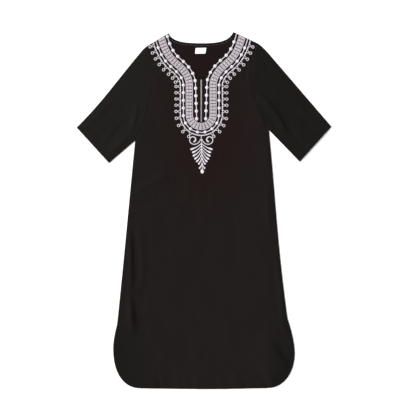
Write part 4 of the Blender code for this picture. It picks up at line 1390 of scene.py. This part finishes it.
@dataclass
class Sleeve:
    """A short sleeve: a flattened tube, open at the armhole and the cuff."""

    side: Side
    drape: Drape
    step: float = 0.0046
    thickness: float = 0.0009
    length: float = 0.270
    armhole_gap: float = 0.0002
    edge_radius: float = 0.00135
    edge_corners: int = 5
    armhole_steps: tuple[float, ...] = (0.0, 0.0008, 0.0020, 0.0040, 0.0070)
    cuff_steps: tuple[float, ...] = (
        0.0, 0.0008, 0.0040, 0.0090, 0.0140, 0.0166, 0.0180, 0.0192, 0.0210, 0.0240
    )

    def grid(self) -> np.ndarray:
        """Plan points, a row for each station from the armhole to the cuff.

        Returns:
            The points, by station and by place across the sleeve.
        """
        side = self.side
        arm = spaced(side.armhole(), self.step)[::-1]
        arm = arm + left_normals(arm) * side.sign * self.armhole_gap
        shares = graded(self.length, self.armhole_steps, self.cuff_steps, self.step)
        top = side.sleeve_top()
        upper = points_at(top, shares * walk(top)[-1])
        upper[0] = arm[0]
        lower = straight(arm[-1], side.at(side.cuff), shares)
        across = np.linspace(0.0, 1.0, len(arm))
        cuff = straight(side.at(side.tip), side.at(side.cuff), across)
        return coons(arm, cuff, upper, lower, across, shares)

    def ring(self, row: np.ndarray) -> np.ndarray:
        """One closed section: the layer on the ground, a rounded edge, the upper layer, an edge.

        Args:
            row: the section's plan points, from the fold to the underarm.

        Returns:
            The section's points.
        """
        inward = np.array([row[1] - row[0], row[-2] - row[-1]])
        inward /= np.linalg.norm(inward, axis=1)[:, None]
        layer = row.copy()
        layer[[0, -1]] = row[[0, -1]] + inward * self.edge_radius
        top = self.drape.top(layer)
        turn = np.linspace(-math.pi / 2, math.pi / 2, self.edge_corners + 2)[1:-1]
        edges = []
        for end, towards in ((-1, inward[1]), (0, inward[0])):
            out = -towards[None] * np.cos(turn)[:, None] * self.edge_radius
            plan = layer[end] + out
            edges.append(np.column_stack([plan, top[end] / 2 * (1 + np.sin(turn))]))
        lower = np.column_stack([layer, np.zeros(len(layer))])
        upper = np.column_stack([layer, top])
        return np.concatenate([lower, edges[0], upper[::-1], edges[1][::-1]])

    def cloth(self) -> Material:
        """The sleeve's own cloth, whose warp runs down it.

        Returns:
            The material.
        """
        side = self.side
        run = side.at(side.tip) - side.at(side.shoulder)
        grain = 90.0 - math.degrees(math.atan2(run[1], run[0]))
        # The sleeve's tone is painted light on the left sleeve and painted shade on the right one.
        finish = ClothFinish(grain_degrees=grain, tone=side.sleeve_painted_light_shade, tints=(SLEEVE_TINT,))
        return finish.make(f"black_cloth_{side.name}_sleeve")

    def build(self) -> Object:
        """The sleeve as a thin wall of cloth.

        Returns:
            The piece, standing for its node.
        """
        rings = np.array([self.ring(row) for row in self.grid()])
        stations, size = rings.shape[:2]
        corner = np.arange(stations * size).reshape(stations, size)
        after = np.roll(corner, -1, axis=1)
        ring = [corner[:-1], corner[1:], after[1:], after[:-1]]
        faces = np.stack(ring, axis=2).reshape(-1, 4)
        if self.side.sign < 0:
            faces = faces[:, ::-1]
        node = f"sleeve_{self.side.name}"
        obj = add_mesh(f"{node}_cloth", rings.reshape(-1, 3), faces, self.cloth())
        add_wall(obj, self.thickness)
        return stand_for(obj, node)


@dataclass
class Embroidery:
    """The pale embroidery round the neck and the slit, each motif a piece of its own.

    An offset is from the ladder band's middle, outwards. A line's half is half its width. Beside
    the slit on the right, the looped cord lies a shift further out between two runs of height.
    """

    drape: Drape
    band_finish: Material
    dot_finish: Material
    cord_finish: Material
    pitch: float = 0.00046
    height: float = 0.0013
    dot_height: float = 0.0021
    long_lines: tuple[Pair, ...] = ((-0.0130, -0.0098), (-0.0007, 0.0007), (0.0098, 0.0130))
    rung_lines: tuple[Pair, ...] = ((-0.0102, -0.0003), (0.0003, 0.0102))
    rung_pitch: float = 0.0116
    rung_width: float = 0.0091
    rung_rise: float = 0.86
    ladder_turn: float = 0.0232
    line_half: float = 0.0016
    line_rise: float = 0.9
    inner_radius: float = 0.0063
    inner_offset: float = -0.0226
    inner_foot: float = 0.9765
    inner_lean: float = 0.0044
    inner_first: float = 0.0066
    outer_radius: float = 0.0059
    outer_offset: float = 0.0215
    outer_pitch: float = 0.0279
    outer_per_side: int = 14
    cord_offset: float = 0.0324
    cord_half: float = 0.0023
    cord_slim: float = 0.0012
    slim_run: float = 0.0030
    right_shift: float = 0.0013
    shift_foot: Pair = (0.960, 1.000)
    shift_top: Pair = (1.100, 1.140)
    loops: int = 17
    loop_first: float = 0.0395
    loop_pitch: float = 0.0227
    loop_offset: float = 0.0158
    loop_radius: float = 0.0044
    loop_half: float = 0.0015
    link_reach: Pair = (0.0010, 0.0112)
    link_spread: float = 0.0054
    link_half: float = 0.0013

    def piece(self, pads: Pad, name: str, node: str, finish: Material) -> Object:
        """Finish a motif as the piece that stands for its node."""
        return stand_for(pads.finish(f"{name}_embroidery", finish), node)

    def ladder(self) -> Object:
        """Ladder band: three long lines joined by rungs, turned at the shoulders to lie on the seam.

        Returns:
            The piece, standing for its node.
        """
        pads = Pad(self.drape.top)
        middle = motif_line(0.0)
        length = walk(middle)[-1]

        def edge(stations: np.ndarray, offset: float) -> np.ndarray:
            """The band's line at an offset, at distances along its middle.

            Args:
                stations: distances along the band's middle.
                offset: how far outside it the line is.

            Returns:
                Points along it, a row each.
            """
            points, normals = on_line(middle, stations)
            from_end = np.minimum(stations, length - stations)
            square = np.clip(from_end / self.ladder_turn, 0.0, 1.0)[:, None]
            line = motif_line(offset)
            on_seam = points_at(line, stations / length * walk(line)[-1])
            return (1.0 - square) * on_seam + square * (points + normals * offset)

        stations = np.linspace(0.0, length, 2 * round(length / self.pitch / 2) + 1)
        for left, right in self.long_lines:
            pads.between(edge(stations, left), edge(stations, right), self.height)
        rungs = round((length - self.rung_width) / self.rung_pitch) + 1
        for centre in np.linspace(self.rung_width / 2, length - self.rung_width / 2, rungs):
            near = np.linspace(-0.5, 0.5, 2 * round(self.rung_width / self.pitch / 2) + 1)
            for left, right in self.rung_lines:
                at = centre + near * self.rung_width
                pads.between(edge(at, left), edge(at, right), self.height * self.rung_rise)
        return self.piece(pads, "ladder", "ladder_band", self.band_finish)

    def dotted(self, line: np.ndarray, centres: np.ndarray, radius: float, node: str) -> Object:
        """A narrow line of thread with a raised dot at each distance along it.

        Args:
            line: the line, points in a row each.
            centres: how far along it each dot is.
            radius: the radius of a dot.
            node: the node that the piece stands for.

        Returns:
            The piece, standing for its node.
        """
        pads = Pad(self.drape.top)
        pads.along(spaced(line, self.pitch), self.line_half, self.height * self.line_rise)
        for centre, right in zip(*on_line(line, centres)):
            along = np.array([-right[1], right[0]])
            pads.dome(centre, along, radius, self.dot_height, self.pitch)
        return self.piece(pads, node, node, self.dot_finish)

    def inner_dots(self, side: Side) -> Object:
        """Dots along the neckline, then down beside the slit, leaning in towards its foot.

        Args:
            side: which side of the opening.

        Returns:
            The piece, standing for its node.
        """
        line = side.below_seam(side.half_line(self.inner_offset))
        upper = line[line[:, 1] > Cut.band_top]
        share = np.linspace(0.0, 1.0, CURVE_STEPS + 1)
        reach = Cut.band_reach + self.inner_offset - self.inner_lean * share
        height = Cut.band_top + (self.inner_foot - Cut.band_top) * share
        beside = np.column_stack([Cut.opening_x + side.sign * reach, height])
        line = np.concatenate([upper, beside])[::-1]
        centres = self.inner_first + side.inner_pitch * np.arange(side.inner_dots)
        return self.dotted(line, centres, self.inner_radius, f"inner_dots_{side.name}")

    def outer_dots(self) -> Object:
        """Dots outside the ladder band, from shoulder to shoulder.

        Returns:
            The piece, standing for its node.
        """
        line = motif_line(self.outer_offset)
        steps = np.arange(-self.outer_per_side, self.outer_per_side) + 0.5
        return self.dotted(line, lowest(line) + steps * self.outer_pitch, self.outer_radius, "outer_dots")

    def looped_cord(self) -> Object:
        """The outermost line: a narrow cord, and a ring held off it by two strands at each step.

        Returns:
            The piece, standing for its node.
        """
        pads = Pad(self.drape.top)
        line = motif_line(self.cord_offset)
        height = np.where(line[:, 0] > 0.0, line[:, 1], 0.0)
        beside = smooth(*self.shift_foot, height) * (1.0 - smooth(*self.shift_top, height))
        line = line - left_normals(line) * self.right_shift * beside[:, None]
        steps = self.loop_first + self.loop_pitch * np.arange(self.loops)
        centres = lowest(line) + np.concatenate([-steps, steps])
        cord = spaced(line, self.pitch)
        near = np.abs(walk(cord)[:, None] - centres[None]).min(axis=1)
        half = self.cord_half + (self.cord_slim - self.cord_half) * np.exp(-((near / self.slim_run) ** 2))
        pads.along(cord, half, self.height)
        around = 2 * round(math.pi * self.loop_radius / self.pitch)
        turn = np.arange(around) * 2 * math.pi / around
        for point, out in zip(*on_line(line, centres)):
            across = np.array([-out[1], out[0]])
            spokes = np.outer(np.cos(turn), out) + np.outer(np.sin(turn), across)
            centre = point + out * self.loop_offset
            inside = centre + spokes * (self.loop_radius - self.loop_half)
            outside = centre + spokes * (self.loop_radius + self.loop_half)
            pads.between(inside, outside, self.height, closed=True)
            for sign in (-1, 1):
                apart = np.outer((sign * self.link_spread, 0.0), across)
                link = point + np.outer(self.link_reach, out) + apart
                pads.along(spaced(link, self.pitch), self.link_half, self.height)
        return self.piece(pads, "looped_cord", "looped_cord", self.cord_finish)

    def build(self) -> list[Object]:
        """All the motifs beside the slit and round the neck."""
        return [self.ladder(), *map(self.inner_dots, SIDES), self.outer_dots(), self.looped_cord()]


@dataclass
class Palmette:
    """The point of the embroidery below the slit: two scrolls, a palmette and its drop.

    Each leaf pair states the height of its root, its reach and its drop. A scroll starts and turns
    by degrees, and its end, curl and arm add up to its radius. An end's run is the length over
    which a line rounds off.
    """

    work: Embroidery
    scroll_reach: float = 0.0294
    scroll_height: float = 0.9060
    scroll_end_radius: float = 0.0055
    scroll_curl: float = 0.0066
    scroll_arm: float = 0.0154
    scroll_start: float = 7.0
    scroll_turn: float = 451.0
    curl_power: float = 4.0
    arm_power: float = 6.0
    scroll_half: Pair = (0.0019, 0.0040)
    scroll_steps: int = 96
    end_run: float = 0.0010
    stem_top: float = 0.9215
    stem_foot: float = 0.8010
    stem_half: float = 0.0013
    apex_half: float = 0.0021
    apex_run: float = 0.0022
    lean: float = 0.0037
    leaf_half: Pair = (0.0014, 0.0037)
    leaf_stations: tuple[float, ...] = (0.0, 0.35, 0.62, 0.82, 0.92, 1.0)
    leaf_fullness: tuple[float, ...] = (0.2, 0.05, 0.35, 0.95, 1.0, 0.8)
    leaf_sag: float = 0.15
    leaf_root_run: float = 0.0008
    leaves: tuple[tuple[float, float, float], ...] = (
        (0.8925, 0.0400, 0.0215),
        (0.8840, 0.0338, 0.0246),
        (0.8740, 0.0318, 0.0270),
        (0.8655, 0.0263, 0.0300),
        (0.8530, 0.0199, 0.0271),
        (0.8400, 0.0128, 0.0232),
        (0.8185, 0.0108, 0.0170),
    )
    drop_height: float = 0.7925
    drop_half: Pair = (0.0067, 0.0088)
    drop_narrowing: float = 0.40
    drop_least: float = 0.0003

    def scroll(self, side: Side) -> Object:
        """Scroll beside the point: a cord that curls into a thick end.

        Args:
            side: which side of the point.

        Returns:
            The piece, standing for its node.
        """
        share = np.linspace(0.0, 1.0, self.scroll_steps + 1)
        angle = np.radians(self.scroll_start - self.scroll_turn * share)
        radius = self.scroll_end_radius + self.scroll_curl * (1.0 - share**self.curl_power)
        radius = radius + self.scroll_arm * (1.0 - share) ** self.arm_power
        centre = np.array([Cut.opening_x + side.sign * self.scroll_reach, self.scroll_height])
        line = np.column_stack([np.cos(angle), np.sin(angle)]) * radius[:, None]
        line = spaced(centre + line * (-side.sign, 1.0), self.work.pitch)
        share = np.linspace(0.0, 1.0, len(line))
        slim, thick = self.scroll_half
        half = slim + (thick - slim) * share**self.arm_power
        pads = Pad(self.work.drape.top)
        pads.rounded(line, half, self.work.height, self.end_run, thick)
        node = f"scroll_{side.name}"
        return self.work.piece(pads, node, node, self.work.cord_finish)

    def axis_x(self, height: Measure) -> Measure:
        """Where the palmette's leaning stem stands at a height."""
        return Cut.opening_x + self.lean * (self.stem_top - height) / (self.stem_top - self.stem_foot)

    def palmette(self) -> Object:
        """A slim stem, fuller at each pair of leaves, with club-ended leaves shorter towards its foot.

        Returns:
            The piece, standing for its node.
        """
        pads = Pad(self.work.drape.top)
        height = np.linspace(self.stem_top, self.stem_foot, CURVE_STEPS)
        stem = spaced(np.column_stack([self.axis_x(height), height]), self.work.pitch)
        roots = np.array([root for root, _, _ in self.leaves])
        near = np.abs(stem[:, 1][:, None] - roots[None]).min(axis=1)
        fuller = (self.apex_half - self.stem_half) * np.exp(-((near / self.apex_run) ** 2))
        pads.rounded(stem, self.stem_half + fuller, self.work.height, self.end_run, self.end_run)
        share = np.linspace(0.0, 1.0, CURVE_STEPS + 1)
        slim, thick = self.leaf_half
        for root, reach, drop in self.leaves:
            fall = drop * (share + self.leaf_sag * np.sin(math.pi * share))
            for sign in (-1, 1):
                x = self.axis_x(root) + sign * (self.stem_half / 2 + reach * share)
                line = spaced(np.column_stack([x, root - fall]), self.work.pitch)
                stations = np.linspace(0.0, 1.0, len(line))
                full = np.interp(stations, self.leaf_stations, self.leaf_fullness)
                half = slim + (thick - slim) * full
                pads.rounded(line, half, self.work.height, self.leaf_root_run, thick)
        return self.work.piece(pads, "palmette", "palmette", self.work.dot_finish)

    def drop(self) -> Object:
        """Teardrop that hangs below the palmette.

        Returns:
            The piece, standing for its node.
        """
        half_width, half_length = self.drop_half
        turn = np.linspace(0.0, math.pi, 2 * round(half_length / self.work.pitch) + 1)
        narrowing = 1.0 - self.drop_narrowing * np.maximum(np.cos(turn), 0.0)
        half = np.maximum(half_width * np.sin(turn) * narrowing, self.drop_least)
        x = np.full(len(turn), Cut.opening_x + self.lean)
        line = np.column_stack([x, self.drop_height + half_length * np.cos(turn)])
        pads = Pad(self.work.drape.top)
        crown = np.maximum(half / half_width, pads.dome_least) ** pads.end_power
        pads.along(line, half, self.work.height * crown)
        return self.work.piece(pads, "drop", "palmette_drop", self.work.dot_finish)

    def build(self) -> list[Object]:
        """The scrolls, the palmette and its drop."""
        return [self.scroll(LEFT), self.scroll(RIGHT), self.palmette(), self.drop()]


@dataclass
class SlitCord:
    """A twisted two-ply cord sewn along one edge of the slit."""

    side: Side
    drape: Drape
    foot_width: float = 0.0015
    top_width: float = 0.0021
    foot_margin: float = 0.0012
    height: float = 0.0013
    step: float = 0.0005
    twist: float = 0.0065
    sides: int = 12
    ply_depth: float = 0.16
    mark_width: float = 0.001

    def build(self, material: Material) -> Object:
        """The cord as a closed twisted tube.

        Args:
            material: its finish.

        Returns:
            The piece, standing for its node.
        """
        foot, top = Cut.slit_foot + self.foot_margin, Cut.slit_top
        heights = np.linspace(foot, top, round((top - foot) / self.step) + 1)
        share = (heights - foot) / (top - foot)
        half = (self.foot_width + (self.top_width - self.foot_width) * share) / 2
        reach = Cut.opening_x + self.side.sign * (Cut.slit_half + half)
        plan = np.column_stack([reach, heights])
        ground = self.drape.top(plan)
        turn = np.arange(self.sides) * 2 * math.pi / self.sides
        twist = heights * 2 * math.pi / self.twist * self.side.sign
        ply = 1 - self.ply_depth + self.ply_depth * np.abs(np.cos(turn[None] - twist[:, None] / 2))
        x = reach[:, None] + half[:, None] * np.sin(turn) * ply
        z = ground[:, None] + self.height / 2 * (1 + np.cos(turn) * ply)
        y = np.broadcast_to(heights[:, None], x.shape)
        corner = np.arange(x.size).reshape(x.shape)
        after = np.roll(corner, -1, axis=1)
        faces = np.stack([corner[:-1], after[:-1], after[1:], corner[1:]], axis=2).reshape(-1, 4)[:, ::-1]
        ends = [tuple(corner[0]), tuple(corner[-1][::-1])]
        vertices = np.stack([x, y, z], axis=2).reshape(-1, 3)
        node = f"slit_cord_{self.side.name}"
        obj = add_mesh(f"{node}_twist", vertices, [*map(tuple, faces), *ends], material)
        across = np.broadcast_to(turn * self.mark_width, x.shape)
        mark_threads(obj, np.stack([across, y], axis=2).reshape(-1, 2))
        return stand_for(obj, node)


@dataclass
class NeckLabel:
    """A bare satin label sewn inside the back neck along its top edge, lying a little askew.

    Its border and fold are shares of its width and height.
    """

    top_left: Pair = (-0.0229, 1.2407)
    top_right: Pair = (0.0166, 1.2414)
    foot_right: Pair = (0.0127, 1.2200)
    foot_left: Pair = (-0.0247, 1.2192)
    lower_face: float = 0.0013
    thickness: float = 0.0005
    lift: float = 0.0008
    lift_middle: float = 0.35
    corner: float = 0.0022
    border: float = 0.05
    border_rise: float = 0.0001
    fold: Pair = (0.80, 0.86)
    fold_rise: float = 0.0002
    stitch_in: float = 0.0016
    stitch_shares: Pair = (0.05, 0.95)
    stitch_points: int = 12
    flat: Pair = (0.0395, 0.0217)
    columns: int = 40
    rows: int = 24

    def build(self, material: Material) -> Object:
        """The label as a thin wall, folded at its top and lifting a little at its foot.

        Args:
            material: its finish.

        Returns:
            The piece, standing for its node.
        """
        across = np.linspace(0.0, 1.0, self.columns + 1)
        up = np.linspace(0.0, 1.0, self.rows + 1)
        rim = np.minimum(up, 1 - up) * (self.top_left[1] - self.foot_left[1])
        inset = self.corner - np.sqrt(self.corner**2 - np.maximum(self.corner - rim, 0.0) ** 2)
        narrow = 1 - 2 * inset / (self.top_right[0] - self.top_left[0])
        spread = 0.5 + (across[None] - 0.5) * narrow[:, None]
        left = straight(self.foot_left, self.top_left, up)[:, None]
        right = straight(self.foot_right, self.top_right, up)[:, None]
        plan = (left + spread[:, :, None] * (right - left)).reshape(-1, 2)
        share = np.tile(across, len(up))
        rise = np.repeat(up, len(across))
        bowed = self.lift_middle + (1 - self.lift_middle) * (2 * share - 1) ** 2
        lift = self.lift * (1 - rise) ** 2 * bowed
        border = self.border_rise * (np.minimum(share, 1 - share) < self.border)
        fold = self.fold_rise * smooth(*self.fold, rise)
        z = self.lower_face + self.thickness + lift + border + fold
        faces = grid_faces(len(up), len(across))
        obj = add_mesh("neck_label_satin", np.column_stack([plan, z]), faces, material)
        add_wall(obj, self.thickness)
        return stand_for(obj, "neck_label")

    def face(self, plan: np.ndarray) -> np.ndarray:
        """Height of the label's folded top edge."""
        return np.full(len(plan), self.lower_face + self.thickness + self.fold_rise)

    def top_seam(self) -> np.ndarray:
        """The line along which the label's top edge is sewn."""
        shares = np.linspace(*self.stitch_shares, self.stitch_points)
        return straight(self.top_left, self.top_right, shares) - (0.0, self.stitch_in)


@dataclass
class Stitching:
    """Rows of small sewing stitches on a ground, in one thread."""

    ground: Ground
    finish: Material
    slot: str = "black_cloth"
    pitch: float = 0.0032
    length: float = 0.0024
    half: float = 0.00028
    height: float = 0.00022
    stations: int = 4
    across: Triple = (-1.0, 0.0, 1.0)
    taper: Pair = (0.12, 0.88)
    taper_power: float = 0.5

    def row(self, pads: Pad, line: np.ndarray) -> None:
        """Add a row of stitches along a line.

        Args:
            pads: the mesh that takes them.
            line: points, a row each.
        """
        length = walk(line)[-1]
        for start in np.arange(self.pitch / 2, length - self.length, self.pitch):
            at = points_at(line, start + np.linspace(0.0, self.length, self.stations))
            shape = np.sin(np.linspace(*self.taper, self.stations) * math.pi) ** self.taper_power
            pads.along(at, self.half * shape, self.height * shape, bare=True)

    def build(self, name: str, lines: Iterable[np.ndarray]) -> Object:
        """The stitches along some lines as one piece.

        Args:
            name: the piece's name.
            lines: the lines, each with its points.

        Returns:
            The piece.
        """
        pads = Pad(self.ground, across=self.across)
        for line in lines:
            self.row(pads, line)
        obj = pads.finish(name, self.finish)
        return obj


def inset(line: np.ndarray, distance_in: float, middle: Pair) -> np.ndarray:
    """A line moved square to itself by a distance, to the side where a point lies.

    Args:
        line: points, a row each.
        distance_in: how far it moves.
        middle: the point that it moves towards.

    Returns:
        The moved line.
    """
    moved = line + left_normals(line) * distance_in
    other = line - left_normals(line) * distance_in
    near = np.linalg.norm(moved.mean(axis=0) - middle) < np.linalg.norm(other.mean(axis=0) - middle)
    return moved if near else other


@dataclass
class Sewing:
    """The rows of stitches that show: at the hem, the neckline, the cuffs and the label.

    The steps are how finely each edge is followed. The middles say which side of an edge is cloth.
    """

    drape: Drape
    label: NeckLabel
    black: Material
    grey: Material
    neck_in: float = 0.0035
    back_neck_in: float = 0.0080
    hem_steps: int = 400
    neck_steps: int = 80
    back_neck_steps: int = 120
    back_neck_ends: int = 8
    cuff_points: int = 40
    cuff_shares: Pair = (0.02, 0.98)
    body_middle: Pair = (0.0, 0.6)
    chest_middle: Pair = (0.0, 1.0)

    def label_row(self) -> Object:
        """The row that holds the label by its top edge.

        Returns:
            The piece.
        """
        white = WHITE_SEWING.make("white_sewing_thread")
        stitches = Stitching(self.label.face, white, "white_satin")
        return stitches.build("label_stitches", [self.label.top_seam()])

    def front_rows(self) -> Object:
        """The rows round the hem and the front's neckline, in black thread.

        Returns:
            The piece.
        """
        hem = resample(hem_line(), self.hem_steps)
        rows = [inset(hem, self.drape.hem_width - self.drape.stitch_in, self.body_middle)]
        for side in SIDES:
            edge = resample(side.neckline(), self.neck_steps)
            rows.append(inset(edge, self.neck_in, side.at(side.shoulder)))
        return Stitching(self.drape.top, self.black).build("front_stitches", rows)

    def back_row(self) -> Object:
        """The row below the back neckline, in grey thread.

        Returns:
            The piece.
        """
        edge = np.concatenate([LEFT.back_neck()[::-1], RIGHT.back_neck()[1:]])
        edge = resample(edge, self.back_neck_steps)[self.back_neck_ends:-self.back_neck_ends]
        row = inset(edge, self.back_neck_in, self.chest_middle)
        return Stitching(self.drape.lower, self.grey).build("back_neck_stitches", [row])

    def cuff_row(self, side: Side) -> Object:
        """The row round one cuff's hem, in black thread.

        Args:
            side: which cuff.

        Returns:
            The piece.
        """
        shares = np.linspace(*self.cuff_shares, self.cuff_points)
        edge = straight(side.at(side.tip), side.at(side.cuff), shares)
        row = inset(edge, self.drape.cuff_width - self.drape.stitch_in, side.at(side.underarm))
        return Stitching(self.drape.top, self.black).build(f"cuff_stitches_{side.name}", [row])


@dataclass(frozen=True)
class Lamp:
    """A wide soft light that shines evenly from one direction, with its spread in degrees."""

    name: str
    direction: Triple
    spread: float
    power: float

    def add(self) -> None:
        """Add the light to the scene."""
        data = bpy.data.lights.new(self.name, "SUN")
        data.angle = math.radians(self.spread)
        data.energy = self.power
        lamp = bpy.data.objects.new(self.name, data)
        lamp.rotation_euler = (-Vector(self.direction)).to_track_quat("-Z", "Y").to_euler()
        bpy.context.scene.collection.objects.link(lamp)


@dataclass(frozen=True)
class Studio:
    """A plain pale floor, soft lights and the camera straight above."""

    centre: Pair = (0.01434, 0.0093)
    view_width: float = 1.5136
    camera_height: float = 4.0
    sensor: float = 36.0
    world_colour: Colour = (1.0, 1.0, 1.0, 1.0)
    world_strength: float = 0.58
    floor_half: float = 8.0
    floor_drop: float = 0.0003
    lamps: tuple[Lamp, ...] = (
        Lamp("key", direction=(-0.80, 0.30, 0.62), spread=34.0, power=4.2),
        Lamp("fill", direction=(0.50, -0.40, 1.00), spread=50.0, power=0.4),
    )

    def floor(self) -> None:
        """Lay the floor just under the garment."""
        half = self.floor_half
        corners = [(-half, -half), (half, -half), (half, half), (-half, half)]
        mesh = bpy.data.meshes.new("floor")
        mesh.from_pydata([(x, y, -self.floor_drop) for x, y in corners], [], [(0, 1, 2, 3)])
        mesh.materials.append(FloorFinish().make("pale_floor"))
        floor = bpy.data.objects.new("floor", mesh)
        bpy.context.scene.collection.objects.link(floor)
        floor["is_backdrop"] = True

    def light(self) -> None:
        """Light the scene from all round and with the lamps."""
        world = bpy.data.worlds.new("studio")
        world.use_nodes = True
        background = world.node_tree.nodes["Background"]
        background.inputs["Color"].default_value = self.world_colour
        background.inputs["Strength"].default_value = self.world_strength
        bpy.context.scene.world = world
        for lamp in self.lamps:
            lamp.add()

    def camera(self) -> None:
        """Set the camera above the garment, its lens fitted to the width of the view."""
        data = bpy.data.cameras.new("camera")
        data.sensor_width = self.sensor
        data.lens = self.sensor * self.camera_height / self.view_width
        camera = bpy.data.objects.new("camera", data)
        camera.location = (*self.centre, self.camera_height)
        bpy.context.scene.collection.objects.link(camera)
        bpy.context.scene.camera = camera

    def build(self) -> None:
        """Floor, lights and camera."""
        bpy.context.scene.view_settings.view_transform = "Standard"
        self.floor()
        self.light()
        self.camera()


def main() -> None:
    """Build every piece of the garment around the frame."""
    logging.basicConfig(level=logging.INFO, format="%(name)s: %(message)s")
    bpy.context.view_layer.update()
    Studio().build()
    drape = Drape()

    back_panel = Panel("back_cloth", Layer.BACK, drape, step=0.0068, area=0.662)
    back = back_panel.build(ClothFinish(tone=0.84).make("black_cloth_inside"))
    front_panel = Panel("front_cloth", Layer.FRONT, drape, step=0.0048, area=0.646)
    front = front_panel.build(ClothFinish().make("black_cloth"))
    sleeves = [Sleeve(side, drape).build() for side in SIDES]

    threads = [
        BAND_THREAD.make("pale_thread"),
        DOT_THREAD.make("pale_dot_thread"),
        CORD_THREAD.make("pale_cord_thread"),
    ]
    work = Embroidery(drape, *threads)
    motifs = [*work.build(), *Palmette(work).build()]
    grey = GREY_THREAD.make("grey_cord")
    cords = [SlitCord(side, drape).build(grey) for side in SIDES]
    neck_label = NeckLabel()
    label = neck_label.build(SatinFinish().make("white_satin"))

    sewing = Sewing(drape, neck_label, BLACK_SEWING.make("black_sewing_thread"), grey)
    label_stitches = sewing.label_row()
    front_stitches = sewing.front_rows()
    back_stitches = sewing.back_row()
    cuff_stitches = [sewing.cuff_row(side) for side in SIDES]

    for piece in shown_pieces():
        LOG.info("%s: %d faces", piece.name, len(piece.data.polygons))


if __name__ == "__main__":
    main()
